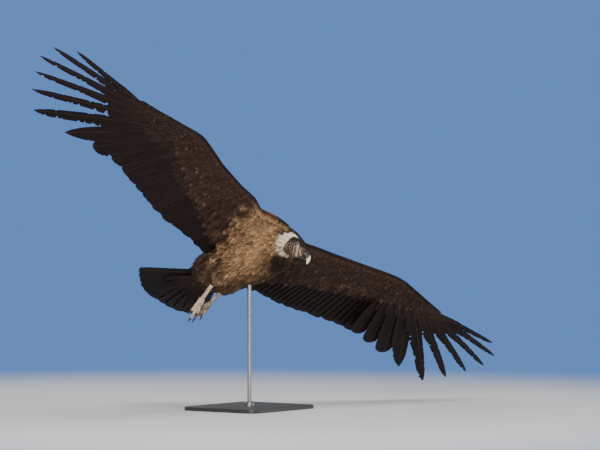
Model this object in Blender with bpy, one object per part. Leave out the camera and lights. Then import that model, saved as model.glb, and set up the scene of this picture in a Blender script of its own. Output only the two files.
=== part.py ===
"""Life-size Andean condor in banking flight on a plain display stand.

The bird is drawn in its own frame, x forward, y to its left and z up its back, and
an empty then banks it above the stand. Metres, +Z up, origin under the stand's base.
"""
import math

import bmesh
import bpy
import numpy as np

# Attitude of the bird on its rod
BANK = 30.2
CLIMB = 20.1
HEADING = -90.0
BIRD_HEIGHT = 0.66
BIRD_FORWARD = 0.0
BIRD_ASIDE = 0.0

# Clearance between two nodes that touch
GAP = 0.0003

# Stand
BASE_SIZE = (0.48, 0.40, 0.016)
BASE_CORNER = 0.045
BASE_EDGE = 0.003
ROD_RADIUS = 0.009
ROD_SOCKET = 0.060
COLLAR_RADIUS = 0.024
COLLAR_HEIGHT = 0.018

# Torso, from the tail root to the base of the neck: x, centre z, half width, half height
TORSO_STATIONS = (
    (-0.302, 0.018, 0.036, 0.024),
    (-0.274, 0.020, 0.078, 0.058),
    (-0.215, 0.017, 0.105, 0.085),
    (-0.150, 0.012, 0.112, 0.096),
    (-0.080, 0.005, 0.112, 0.098),
    (-0.005, 0.001, 0.115, 0.103),
    (0.065, 0.000, 0.115, 0.105),
    (0.125, 0.003, 0.108, 0.100),
    (0.170, 0.004, 0.096, 0.091),
    (0.205, 0.002, 0.074, 0.073),
    (0.230, -0.002, 0.046, 0.048),
)
TORSO_SIDES = 24

# Head, set by its own frame: eye level at the middle of the head
HEAD_AT = (0.2927, -0.0190, -0.0560)
HEAD_YAW = 46.9
HEAD_DOWN = 24.6
HEAD_ROLL = 21.9
HEAD_SCALE = 0.90
# x, top z, bottom z, half width
SKULL_STATIONS = (
    (-0.060, 0.012, -0.040, 0.019),
    (-0.050, 0.0230, -0.0500, 0.0270),
    (-0.034, 0.0315, -0.0565, 0.0320),
    (-0.014, 0.0345, -0.0590, 0.0335),
    (0.004, 0.0320, -0.0580, 0.0320),
    (0.019, 0.0235, -0.0545, 0.0280),
    (0.032, 0.0150, -0.0490, 0.0230),
    (0.044, 0.0080, -0.0440, 0.0185),
    (0.049, 0.0050, -0.0415, 0.0150),
)
SKULL_SIDES = 20
EYE_RADIUS = 0.0105
EYE_SIDE = 0.0248
LID_RADIUS = 0.0102
LID_THICK = 0.0026
EAR_AT = (-0.034, 0.0, -0.004)
EAR_RADIUS = 0.0070
NOSTRIL_AT = (0.054, 0.0, -0.0075)
NOSTRIL_SIZE = (0.0048, 0.0200, 0.0022)

# Upper bill along its curved middle line: x, z, half width, half height, turn downwards
BILL_STATIONS = (
    (0.040, -0.0150, 0.0160, 0.0185, 0.0),
    (0.052, -0.0165, 0.0142, 0.0180, 4.0),
    (0.063, -0.0185, 0.0122, 0.0165, 10.0),
    (0.073, -0.0225, 0.0106, 0.0150, 26.0),
    (0.0805, -0.0310, 0.0088, 0.0120, 52.0),
    (0.0845, -0.0410, 0.0066, 0.0085, 76.0),
    (0.0860, -0.0510, 0.0042, 0.0050, 92.0),
    (0.0850, -0.0605, 0.0016, 0.0018, 104.0),
)
LOWER_BILL_STATIONS = (
    (0.030, -0.0425, 0.0150, 0.0075, 2.0),
    (0.045, -0.0425, 0.0128, 0.0068, 2.0),
    (0.058, -0.0425, 0.0100, 0.0058, 2.0),
    (0.068, -0.0425, 0.0070, 0.0045, 2.0),
    (0.0735, -0.0420, 0.0034, 0.0026, 2.0),
)

# Neck and ruff
NECK_STATIONS = ((0.185, 0.000, 0.000, 0.047), (0.215, -0.004, -0.008, 0.042), (0.243, -0.018, -0.026, 0.034),
                 (0.262, -0.032, -0.040, 0.025))
RUFF_AT = (0.2715, -0.0279, -0.0467)
RUFF_AXIS = (0.731, 0.062, -0.680)
RUFF_RADIUS = 0.038
RUFF_CORE = 0.0110
RUFF_DIP = 0.022
RUFF_TIERS = ((0.010, 0.028, 68.0), (-0.004, 0.030, 46.0))
RUFF_LOCKS = 9
# Share that the ruff loses in radius, thickness and lock length at the nape
RUFF_NAPE = (0.22, 0.30, 0.48)

# Wings. Each side has its own sweep and set, because the bird is steering.
SHOULDER = (0.197, 0.155, 0.085)
ARM_LENGTH = 0.522
HAND_LENGTH = 0.322
WING_POSE = {
    "left": {"side": 1, "arm": (16.5, 4.4, 10.4), "hand": (-4.6, 0.8, 18.5), "bow": (0.0, 0.002, 0.0, 0.0, 0.0),
             "reach": (0.378, 0.404, 0.392)},
    "right": {"side": -1, "arm": (12.5, 4.8, 7.7), "hand": (-12.4, 4.0, 9.7), "bow": (0.006, 0.017, 0.000, -0.009, 0.002),
              "reach": (0.364, 0.398, 0.405)},
}
# How far the mantle stands forward of the shoulders
MANTLE = 0.020
# Flesh of the wing along the arm (0 to 1) and the hand (1 to 2): place, chord, thickness
WING_STATIONS = (
    (-0.30, 0.300, 0.082),
    (-0.12, 0.290, 0.078),
    (0.06, 0.250, 0.066),
    (0.24, 0.200, 0.052),
    (0.50, 0.158, 0.041),
    (0.75, 0.130, 0.035),
    (0.94, 0.110, 0.032),
    (1.10, 0.094, 0.028),
    (1.35, 0.074, 0.022),
    (1.60, 0.056, 0.017),
    (1.82, 0.042, 0.013),
    (1.98, 0.026, 0.010),
)
# Half thickness along the chord, as a share of the whole thickness
AIRFOIL = ((0.0, 0.10), (0.03, 0.30), (0.11, 0.46), (0.28, 0.50), (0.52, 0.40), (0.78, 0.24), (1.0, 0.08))
CAMBER = 0.055
ELBOW = 0.46
WRIST = 1.02

SECONDARY_COUNT = 18
SECONDARY_WIDTH = (0.022, 0.033)
# Primaries from the wrist outwards: length, angle from straight back, leading and trailing half width
PRIMARIES = (
    (0.330, 23.0, 0.033, 0.048),
    (0.362, 33.5, 0.034, 0.050),
    (0.408, 43.5, 0.034, 0.052),
    (0.495, 52.2, 0.027, 0.047),
    (0.606, 62.3, 0.022, 0.049),
    (0.606, 71.4, 0.019, 0.038),
    (0.597, 79.8, 0.016, 0.032),
    (0.588, 87.6, 0.015, 0.028),
    (0.540, 95.0, 0.014, 0.026),
    (0.428, 101.4, 0.013, 0.024),
)
VANE_EDGE = 0.0006
QUILL = 0.0030

TAIL_AT = (-0.250, -0.006, 0.014)
TAIL_TURN = -5.5
TAIL_COUNT = 12
TAIL_FAN = 36.5
TAIL_LENGTH = 0.300
TAIL_WIDTH = (0.021, 0.029)

# Legs: thigh top, heel, toe root, and where the middle toe points
LEGS = {
    "left": {"side": 1, "hip": (-0.110, 0.038, -0.020), "heel": (-0.168, 0.026, -0.080),
             "toes": (-0.252, 0.027, -0.121), "tip": (-0.352, 0.045, -0.145)},
    "right": {"side": -1, "hip": (-0.070, -0.060, -0.056), "heel": (-0.142, -0.064, -0.094),
              "toes": (-0.220, -0.052, -0.147), "tip": (-0.300, -0.036, -0.226)},
}
TARSUS_RADIUS = 0.0092
TOE_RADIUS = 0.0078
TOES = (
    {"name": "middle", "spread": 0.0, "length": 0.092, "lift": 0.0},
    {"name": "inner", "spread": 1.0, "length": 0.062, "lift": 0.0},
    {"name": "outer", "spread": -1.0, "length": 0.062, "lift": 0.0},
    {"name": "hind", "spread": 0.35, "length": 0.034, "lift": 1.0},
)
CLAW_LENGTH = 0.024

COLOURS = {
    "body": ((0.19, 0.125, 0.080), 0.85, 0.0),
    "wing": ((0.055, 0.036, 0.027), 0.70, 0.0),
    "tail": ((0.030, 0.021, 0.018), 0.70, 0.0),
    "head": ((0.075, 0.062, 0.055), 0.60, 0.0),
    "ruff": ((0.78, 0.74, 0.70), 0.90, 0.0),
    "bill": ((0.82, 0.77, 0.64), 0.35, 0.0),
    "eye": ((0.10, 0.020, 0.012), 0.08, 0.0),
    "leg": ((0.55, 0.49, 0.44), 0.60, 0.0),
    "claw": ((0.06, 0.05, 0.045), 0.45, 0.0),
    "base": ((0.030, 0.031, 0.034), 0.45, 0.0),
    "rod": ((0.62, 0.62, 0.62), 0.30, 1.0),
}


def unit(vector):
    vector = np.asarray(vector, float)
    return vector / np.linalg.norm(vector)


def ramp(x, table, column):
    """Value of one column of a table of stations at x, between the stations in straight lines."""
    return float(np.interp(x, [row[0] for row in table], [row[column] for row in table]))


# Materials and meshes
def material(name):
    found = bpy.data.materials.get(name)
    if found:
        return found
    colour, roughness, metallic = COLOURS[name]
    made = bpy.data.materials.new(name)
    made.use_nodes = True
    shader = made.node_tree.nodes["Principled BSDF"]
    shader.inputs["Base Color"].default_value = (*colour, 1.0)
    shader.inputs["Roughness"].default_value = roughness
    shader.inputs["Metallic"].default_value = metallic
    made.diffuse_color = (*colour, 1.0)
    return made


def mesh_object(name, points, faces, colour, smooth=True):
    mesh = bpy.data.meshes.new(name)
    mesh.from_pydata([tuple(map(float, p)) for p in points], [], [tuple(map(int, f)) for f in faces])
    mesh.materials.append(material(colour))
    mesh.validate()
    made = bpy.data.objects.new(name, mesh)
    bpy.context.scene.collection.objects.link(made)
    if smooth:
        mesh.shade_smooth()
        mesh.set_sharp_from_angle(angle=math.radians(50))
    return made


def loft(rings):
    """Closed surface through rings of equally many points, with a fan over each end.

    The rings turn anticlockwise when seen from their far end, so that faces point outwards.
    """
    rings = np.asarray(rings, float)
    count, sides = rings.shape[:2]
    points = np.concatenate([rings.reshape(-1, 3), rings[0].mean(0)[None], rings[-1].mean(0)[None]])
    first, last = len(points) - 2, len(points) - 1
    faces = []
    for i in range(count - 1):
        for j in range(sides):
            a, b = i * sides + j, i * sides + (j + 1) % sides
            faces += [(a, b, b + sides), (a, b + sides, a + sides)]
    top = (count - 1) * sides
    for j in range(sides):
        k = (j + 1) % sides
        faces += [(first, k, j), (last, top + j, top + k)]
    return points, faces


def turned_right(points, faces):
    """The same closed mesh with its faces pointing outwards."""
    points = np.asarray(points, float)
    tri = np.array([f[:3] for f in faces])
    volume = np.einsum("ij,ij->", points[tri[:, 0]], np.cross(points[tri[:, 1]], points[tri[:, 2]]))
    return points, ([f[::-1] for f in faces] if volume < 0 else faces)


def oval(centre, across, up, half_width, half_height, sides, square=2.0):
    """One ring of a superellipse in the plane of across and up."""
    angle = np.linspace(0, 2 * np.pi, sides, endpoint=False)
    c, s = np.cos(angle), np.sin(angle)
    share = 2.0 / square
    x = np.sign(c) * np.abs(c) ** share * half_width
    z = np.sign(s) * np.abs(s) ** share * half_height
    return np.asarray(centre) + x[:, None] * np.asarray(across) + z[:, None] * np.asarray(up)


def tube(path, radii, sides, name, colour, flat=1.0, up=(0, 0, 1)):
    """Tube along a path with a radius at each point. flat squeezes it along up."""
    path = np.asarray(path, float)
    rings = []
    for i, point in enumerate(path):
        along = unit(path[min(i + 1, len(path) - 1)] - path[max(i - 1, 0)])
        across = unit(np.cross(up, along))
        rings.append(oval(point, across, np.cross(along, across), radii[i], radii[i] * flat, sides))
    return mesh_object(name, *turned_right(*loft(rings)), colour)


# Boolean work
def evaluated_mesh(obj):
    graph = bpy.context.evaluated_depsgraph_get()
    made = bpy.data.meshes.new_from_object(obj.evaluated_get(graph))
    obj.modifiers.clear()
    obj.data = made


def boolean(obj, others, operation, solver="EXACT"):
    """Joins others to obj, or cuts them from it, in one go, and removes them. Where many thin vanes meet, the
    exact solver leaves open seams, and the manifold one takes its place."""
    group = bpy.data.collections.new("pieces")
    bpy.context.scene.collection.children.link(group)
    for other in others:
        bpy.context.scene.collection.objects.unlink(other)
        group.objects.link(other)
    step = obj.modifiers.new(operation.lower(), "BOOLEAN")
    step.operation = operation
    step.operand_type = "COLLECTION"
    step.collection = group
    step.solver = solver
    bpy.context.view_layer.update()
    evaluated_mesh(obj)
    for other in others:
        bpy.data.objects.remove(other)
    bpy.data.collections.remove(group)
    return obj


def keep_largest(obj):
    """Keeps only the largest closed surface, which fills sealed hollows and drops loose scraps."""
    work = bmesh.new()
    work.from_mesh(obj.data)
    bmesh.ops.triangulate(work, faces=work.faces[:])
    unseen, best, best_size = set(work.verts), None, -1.0
    while unseen:
        shell, edge_of = [], [unseen.pop()]
        while edge_of:
            vert = edge_of.pop()
            shell.append(vert)
            for edge in vert.link_edges:
                other = edge.other_vert(vert)
                if other in unseen:
                    unseen.remove(other)
                    edge_of.append(other)
        spot = np.array([v.co[:] for v in shell])
        size = float(np.prod(spot.max(0) - spot.min(0) + 1e-6))
        if size > best_size:
            best, best_size = set(shell), size
    bmesh.ops.delete(work, geom=[v for v in work.verts if v not in best], context="VERTS")
    work.to_mesh(obj.data)
    work.free()
    return obj


def grown(obj, by):
    """A copy of a closed mesh with its skin moved outwards, for cutting a neighbour clear of it."""
    made = obj.copy()
    made.data = obj.data.copy()
    bpy.context.scene.collection.objects.link(made)
    work = bmesh.new()
    work.from_mesh(made.data)
    work.normal_update()
    for vert in work.verts:
        vert.co += vert.normal * by * min(vert.calc_shell_factor(), 2.0)
    work.to_mesh(made.data)
    work.free()
    return made


def clear_of(obj, *neighbours):
    """Cuts obj so that it stays a small gap away from each neighbour that it grows from."""
    boolean(obj, [grown(n, GAP) for n in neighbours], "DIFFERENCE")
    return keep_largest(obj)


def half_space(point, normal, along):
    """A large block that fills the side of a plane that normal points to."""
    size = 1.5
    n, a = unit(normal), unit(along)
    a = unit(a - n * (a @ n))
    b = np.cross(n, a)
    points = [np.asarray(point) + n * h * 2 * size + a * i * size + b * j * size
              for h in (0, 1) for i, j in ((-1, -1), (1, -1), (1, 1), (-1, 1))]
    faces = [(0, 3, 2, 1), (4, 5, 6, 7), (0, 1, 5, 4), (1, 2, 6, 5), (2, 3, 7, 6), (3, 0, 4, 7)]
    return mesh_object("block", *turned_right(points, faces), "body", smooth=False)


# Feathers
VANE_SHAPES = {
    # share of the length, share of the leading half width, share of the trailing half width
    "finger": ((0.0, 0.28, 0.18), (0.15, 0.72, 0.52), (0.36, 1.0, 1.0), (0.50, 0.80, 0.76), (0.62, 0.76, 0.60),
               (0.86, 0.58, 0.46), (1.0, 0.10, 0.08)),
    "primary": ((0.0, 0.22, 0.18), (0.20, 0.62, 0.62), (0.66, 1.0, 1.0), (0.88, 0.84, 0.80), (1.0, 0.16, 0.12)),
    "broad": ((0.0, 0.35, 0.40), (0.22, 0.95, 0.95), (0.62, 1.0, 1.0), (0.91, 0.90, 0.86), (1.0, 0.40, 0.34)),
    "covert": ((0.0, 0.45, 0.45), (0.40, 1.0, 1.0), (0.84, 0.92, 0.92), (1.0, 0.40, 0.40)),
    "lock": ((0.0, 0.80, 0.80), (0.45, 1.0, 1.0), (0.80, 0.72, 0.72), (1.0, 0.22, 0.22)),
}


def vane(name, root, along, over, length, widths, shape, colour, tilt=0.0, curl=0.0, sweep=0.0,
         quill=QUILL, tip_quill=0.0012, edge=VANE_EDGE, flat=False):
    """One feather: a thin blade either side of its shaft.

    root is the shaft's start, along its direction and over the outward side of the blade.
    widths are the leading and trailing half widths, tilt turns the blade about its shaft in
    degrees, curl lifts the tip by that share of the length and sweep bends it to the trailing
    side. Both faces are split into triangles alike, so that they never cross.
    """
    along, over = unit(along), np.asarray(over, float)
    over = unit(over - along * (over @ along))
    lead = np.cross(along, over)
    turn = math.radians(tilt)
    lead, over = lead * math.cos(turn) + over * math.sin(turn), over * math.cos(turn) - lead * math.sin(turn)
    rows = []
    for share, leading, trailing in VANE_SHAPES[shape]:
        middle = (np.asarray(root) + along * length * share + over * curl * length * share ** 2
                  - lead * sweep * length * share ** 2)
        front = middle + lead * widths[0] * leading
        rear = middle - lead * widths[1] * trailing
        high = over * (quill + (tip_quill - quill) * share) / 2
        thin = over * edge / 2
        rows.append([front - thin, front + thin, rear + thin, rear - thin] if flat else
                    [front - thin, front + thin, middle + high, rear + thin, rear - thin, middle - high])
    rows = np.array(rows)
    count, sides = rows.shape[:2]
    faces = []
    for i in range(count - 1):
        a, b = i * sides, (i + 1) * sides
        if flat:
            quads = ((1, 2, False), (3, 0, True), (0, 1, False), (2, 3, False))
        else:
            quads = ((1, 2, False), (2, 3, False), (4, 5, True), (5, 0, True), (0, 1, False), (3, 4, False))
        for p, q, under in quads:
            if under:
                faces += [(a + p, b + p, a + q), (a + q, b + p, b + q)]
            else:
                faces += [(a + p, b + q, a + q), (a + p, b + p, b + q)]
    end = (count - 1) * sides
    caps = ((0, 1, 2), (0, 2, 3)) if flat else ((0, 1, 2), (0, 2, 5), (2, 3, 5), (3, 4, 5))
    for p, q, r in caps:
        faces += [(p, q, r), (end + p, end + r, end + q)]
    return mesh_object(name, *turned_right(rows.reshape(-1, 3), faces), colour, smooth=False)


# Wings
class Wing:
    """Places along one wing: 0 is the shoulder, 1 the wrist and 2 the end of the hand."""

    def __init__(self, pose):
        self.side = pose["side"]
        self.bow = pose["bow"]
        self.reach = pose["reach"]
        self.arm = self.axes(*pose["arm"])
        self.hand = self.axes(*pose["hand"])
        self.root = self.axes(0.0, 0.0, pose["arm"][2])
        self.shoulder = np.array(SHOULDER)
        self.wrist = self.shoulder + ARM_LENGTH * self.arm[0]
        self.tip = self.wrist + HAND_LENGTH * self.hand[0]

    @staticmethod
    def axes(sweep, rise, pitch):
        """Outward, backward and upward directions of a stretch of a left wing."""
        a, b, c = map(math.radians, (sweep, rise, pitch))
        out = np.array([math.sin(a) * math.cos(b), math.cos(a) * math.cos(b), math.sin(b)])
        back = np.array([-1.0, 0.0, 0.0])
        back = unit(back - out * (back @ out))
        up = np.cross(out, back)
        return out, math.cos(c) * back - math.sin(c) * up, math.cos(c) * up + math.sin(c) * back

    def frame(self, t):
        """Outward, backward and upward directions at t."""
        if t < 0.30:
            share = np.clip((t + 0.10) / 0.40, 0, 1)
            one, two = self.root, self.arm
        else:
            share = np.clip((t - 0.82) / 0.42, 0, 1)
            one, two = self.arm, self.hand
        share = share * share * (3 - 2 * share)
        out, back = (unit(one[i] * (1 - share) + two[i] * share) for i in (0, 1))
        up = unit(np.cross(out, back))
        return out, back, up

    def edge(self, t):
        """The leading edge at t."""
        if t < 0:
            return self.shoulder + (self.bow[0] + MANTLE * min(1, -t / 0.15), ARM_LENGTH * t, 0)
        if t <= 1:
            point = self.shoulder + (self.wrist - self.shoulder) * t
            return point + (np.interp(t, (0.0, 0.15, 0.35, 0.65, 1.0), self.bow), 0, 0)
        point = self.wrist + (self.tip - self.wrist) * (t - 1)
        return point

    def rounded_edge(self, t):
        """The leading edge with the corner at the wrist rounded off."""
        reach = 0.14
        if abs(t - 1) < reach:
            before, after = self.edge(1 - reach), self.edge(1 + reach)
            s = (t - 1 + reach) / (2 * reach)
            return before * (1 - s) ** 2 + self.edge(1.0) * 2 * s * (1 - s) + after * s ** 2
        return self.edge(t)

    def at(self, t, share, height=0.0):
        """A point of the flesh: share of the chord behind the edge, height in metres above the middle."""
        out, back, up = self.frame(t)
        chord = ramp(t, WING_STATIONS, 1)
        return self.rounded_edge(t) + back * chord * share + up * (height + self.camber(t, share))

    def camber(self, t, share):
        return CAMBER * min(ramp(t, WING_STATIONS, 1), 0.15) * 4 * share * (1 - share)

    def mirrored(self, vector):
        return np.asarray(vector) * (1, self.side, 1)


def place(obj, wing):
    """Mirrors a piece that was drawn for the left wing over to the right one where it belongs there."""
    if wing.side < 0:
        for vert in obj.data.vertices:
            vert.co.y = -vert.co.y
        obj.data.flip_normals()
    return obj


def wing_flesh(wing, name, start, end):
    """Skin over bone and muscle, from one place along the wing to another."""
    stations = [t for t, _, _ in WING_STATIONS if start < t < end]
    stations = [start, *stations, end]
    rings = []
    for t in stations:
        out, back, up = wing.frame(t)
        chord, thick = ramp(t, WING_STATIONS, 1), ramp(t, WING_STATIONS, 2)
        ring = []
        for sign in (1, -1):
            row = AIRFOIL if sign > 0 else AIRFOIL[::-1]
            for share, half in row:
                ring.append(wing.rounded_edge(t) + back * chord * share
                            + up * (sign * half * thick + wing.camber(t, share)))
        rings.append(ring)
    return place(mesh_object(name, *turned_right(*loft(rings)), "wing"), wing)


def secondary_way(wing, share):
    """Place along the wing, and the direction and upward side, of a feather of the arm."""
    t = -0.10 + 1.095 * share
    up = wing.frame(t)[2]
    flat = np.array([-1.0, 0.30 * share ** 3 - 0.03, 0.0])
    along = unit(flat - up * (flat @ up))
    return t, along, up


def secondary(wing, index):
    """Root, direction, upward side and length of one secondary, counted from the body."""
    share = (index + 0.5) / SECONDARY_COUNT
    t, along, up = secondary_way(wing, share)
    start = min(0.66, 0.115 / ramp(t, WING_STATIONS, 1))
    reach = float(np.interp(share, (0.0, 0.5, 1.0), wing.reach)) + 0.005 * math.sin(index * 2.4)
    return wing.at(t, start), along, up, reach - ramp(t, WING_STATIONS, 1) * start


def primary(wing, index):
    """Root, direction, upward side and length of one primary, counted from the wrist."""
    length, fan = PRIMARIES[index][:2]
    share = index / 9
    t = 1.03 + 0.88 * share
    out, back, up = wing.hand
    fan = math.radians(fan)
    along = unit(back * math.cos(fan) + out * math.sin(fan))
    root = wing.at(t, 0.60, -0.0012 * max(0, index - 5)) - along * (0.010 + 0.012 * share)
    return root, along, up, length


def secondaries(wing, first, last):
    made = []
    for index in range(first, last):
        root, along, up, length = secondary(wing, index)
        lead, trail = SECONDARY_WIDTH
        lead += 0.016 * ((index + 0.5) / SECONDARY_COUNT) ** 6
        made.append(place(vane("secondary", root, along, up, length, (lead, trail), "broad", "wing",
                               tilt=4.6, curl=-0.03), wing))
    return made


def primaries(wing):
    made = []
    for index in range(10):
        root, along, up, length = primary(wing, index)
        shape = "primary" if index < 4 else "finger"
        made.append(place(vane("primary", root, along, up, length, PRIMARIES[index][2:], shape, "wing",
                               tilt=6.5, curl=0.02, sweep=0.02), wing))
    return made


def secondary_coverts(wing, first, last, count, under):
    """Greater coverts over the roots of the secondaries, above or below them."""
    made = []
    side = -1 if under else 1
    for step in range(first, last):
        share = (step + 0.5) / count
        t, along, up = secondary_way(wing, share)
        chord, thick = ramp(t, WING_STATIONS, 1), ramp(t, WING_STATIONS, 2)
        start = min(0.58, 0.10 / chord)
        root = wing.at(t, start, side * min(0.0072, thick * 0.22))
        length = 0.205 - 0.045 * share - chord * start * 0.35
        wide = 0.44 / count
        made.append(place(vane("covert", root, unit(along + up * side * 0.016), up * side, length, (wide, wide),
                               "covert", "wing", tilt=3.4, flat=True, edge=0.0010), wing))
    return made


def primary_coverts(wing, under):
    """Coverts over the roots of the primaries, above or below them."""
    made = []
    side = -1 if under else 1
    for index in (0, 1, 2, 4, 6, 8):
        root, along, up, length = primary(wing, index)
        root = root + up * side * 0.0052 + along * 0.004
        along = unit(along + up * side * 0.010)
        wide = 0.0120 if index > 3 else 0.0170
        made.append(place(vane("covert", root, along, up * side, 0.158 - 0.004 * index, (wide, wide), "covert",
                               "wing", tilt=6.5, flat=True, edge=0.0010), wing))
    return made


def wing_nodes(name, torso):
    """The upper arm, forearm and hand of one wing, parted by thin cuts along the feathers."""
    wing = Wing(WING_POSE[name])
    elbow_feather = 8
    parts = {}
    upper = wing_flesh(wing, f"wing_{name}_upper", -0.30, ELBOW + 0.06)
    boolean(upper, [*secondaries(wing, 0, elbow_feather), *secondary_coverts(wing, 0, 6, 13, True),
                    *secondary_coverts(wing, 0, 6, 13, False)], "UNION", "MANIFOLD")
    fore = wing_flesh(wing, f"wing_{name}_fore", ELBOW - 0.10, WRIST + 0.10)
    boolean(fore, [*secondaries(wing, elbow_feather, SECONDARY_COUNT), *secondary_coverts(wing, 6, 13, 13, True),
                   *secondary_coverts(wing, 6, 13, 13, False)], "UNION", "MANIFOLD")
    hand = wing_flesh(wing, f"wing_{name}_hand", WRIST - 0.16, 1.98)
    boolean(hand, [*primaries(wing), *primary_coverts(wing, True), *primary_coverts(wing, False)],
            "UNION", "MANIFOLD")
    elbow_root = (secondary(wing, elbow_feather - 1)[0] + secondary(wing, elbow_feather)[0]) / 2
    elbow_along, elbow_up = secondary(wing, elbow_feather)[1:3]
    wrist_root = (secondary(wing, SECONDARY_COUNT - 1)[0] + primary(wing, 0)[0]) / 2
    wrist_along = unit(secondary(wing, SECONDARY_COUNT - 1)[1] + primary(wing, 0)[1])
    wrist_up = wing.frame(1.0)[2]
    for inner, outer, root, along, up in ((upper, fore, elbow_root, elbow_along, elbow_up),
                                          (fore, hand, wrist_root, wrist_along, wrist_up)):
        outward = unit(np.cross(up, along))
        outward = outward if outward[1] > 0 else -outward
        for obj, sign in ((inner, 1), (outer, -1)):
            block = half_space(wing.mirrored(root - outward * sign * GAP / 2), wing.mirrored(outward * sign),
                               wing.mirrored(along))
            boolean(obj, [block], "DIFFERENCE", "MANIFOLD")
            keep_largest(obj)
    middle = (0, GAP / 2 * wing.side, 0)
    boolean(upper, [half_space(middle, (0, -wing.side, 0), (1, 0, 0))], "DIFFERENCE", "MANIFOLD")
    clear_of(upper, torso)
    parts.update(upper=upper, fore=fore, hand=hand)
    return parts


# Body
def torso_node():
    rings = [oval((x, 0, z), (0, 1, 0), (0, 0, 1), w, h, TORSO_SIDES, 2.15) for x, z, w, h in TORSO_STATIONS]
    return mesh_object("torso", *turned_right(*loft(rings)), "body")


def tail_node(torso):
    """Twelve tail feathers in a fan, with coverts over and under their roots."""
    at = np.array(TAIL_AT)
    root_path = [at + (0.060, 0, 0), at + (-0.015, 0, 0), at + (-0.060, 0, 0), at + (-0.085, 0, 0)]
    rump = tube(root_path, (0.066, 0.062, 0.044, 0.016), 14, "tail", "tail", flat=0.36)
    pieces = []
    for index in range(TAIL_COUNT):
        share = index / (TAIL_COUNT - 1) * 2 - 1
        angle = math.radians(TAIL_FAN * share + TAIL_TURN)
        along = np.array([-math.cos(angle), math.sin(angle), -0.012 * abs(share)])
        root = at + (-0.012 + 0.030 * share ** 2, 0.040 * share, -0.0132 * abs(share))
        inward = np.sign(share)
        widths = TAIL_WIDTH if inward > 0 else TAIL_WIDTH[::-1]
        pieces.append(vane("rectrix", root, along, (0, 0, 1), TAIL_LENGTH - 0.012 * share, widths, "broad",
                           "tail", tilt=4.0 * inward, curl=-0.01))
    for side, count, reach in ((1, 6, 0.150), (-1, 6, 0.150)):
        for index in range(count):
            share = index / (count - 1) * 2 - 1
            angle = math.radians(TAIL_FAN * 0.85 * share + TAIL_TURN)
            along = np.array([-math.cos(angle), math.sin(angle), side * 0.030])
            root = at + (-0.004, 0.036 * share, side * 0.0085 - 0.0120 * abs(share))
            pieces.append(vane("covert", root, along, (0, 0, side), reach, (0.021, 0.021), "covert", "tail",
                               tilt=4.0 * np.sign(share), flat=True, edge=0.0010))
    boolean(rump, pieces, "UNION", "MANIFOLD")
    return clear_of(rump, torso)


def head_frame():
    """Rotation and place that carry the head's own frame into the bird's."""
    yaw, down, roll = map(math.radians, (HEAD_YAW, HEAD_DOWN, HEAD_ROLL))
    cy, sy, cd, sd, cr, sr = (f(a) for a in (yaw, down, roll) for f in (math.cos, math.sin))
    turn_z = np.array([[cy, -sy, 0], [sy, cy, 0], [0, 0, 1]])
    turn_y = np.array([[cd, 0, sd], [0, 1, 0], [-sd, 0, cd]])
    turn_x = np.array([[1, 0, 0], [0, cr, -sr], [0, sr, cr]])
    return turn_z @ turn_y @ turn_x, np.array(HEAD_AT)


def head_piece(name, points, faces, colour, smooth=True):
    turn, at = head_frame()
    points, faces = turned_right(points, faces)
    return mesh_object(name, points * HEAD_SCALE @ turn.T + at, faces, colour, smooth)


def ball(centre, radii, rings=8, sides=12):
    """Ellipsoid with its poles along y."""
    rows = []
    for angle in np.linspace(0, np.pi, rings + 1)[1:-1]:
        rows.append(oval((centre[0], centre[1] - radii[1] * math.cos(angle), centre[2]), (1, 0, 0), (0, 0, 1),
                         radii[0] * math.sin(angle), radii[2] * math.sin(angle), sides))
    points, faces = loft(rows)
    points[-2] = (centre[0], centre[1] - radii[1], centre[2])
    points[-1] = (centre[0], centre[1] + radii[1], centre[2])
    return points, faces


def ring_tube(centre, radius, thick, height_scale, tilt, rings=12, sides=5):
    """A closed ring about the y axis, for an eyelid or the rim of an ear."""
    points, faces = [], []
    for i in range(rings):
        a = 2 * np.pi * i / rings
        out = np.array([math.cos(a), 0, math.sin(a) * height_scale])
        middle = np.array(centre) + out * radius + np.array([0, tilt * math.cos(a), 0])
        for j in range(sides):
            b = 2 * np.pi * j / sides
            points.append(middle + unit(out) * thick * math.cos(b) + np.array([0, 1, 0]) * thick * math.sin(b))
    for i in range(rings):
        for j in range(sides):
            a, b = i * sides + j, i * sides + (j + 1) % sides
            c, d = ((i + 1) % rings) * sides + j, ((i + 1) % rings) * sides + (j + 1) % sides
            faces += [(a, b, d), (a, d, c)]
    return np.array(points), faces


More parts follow.
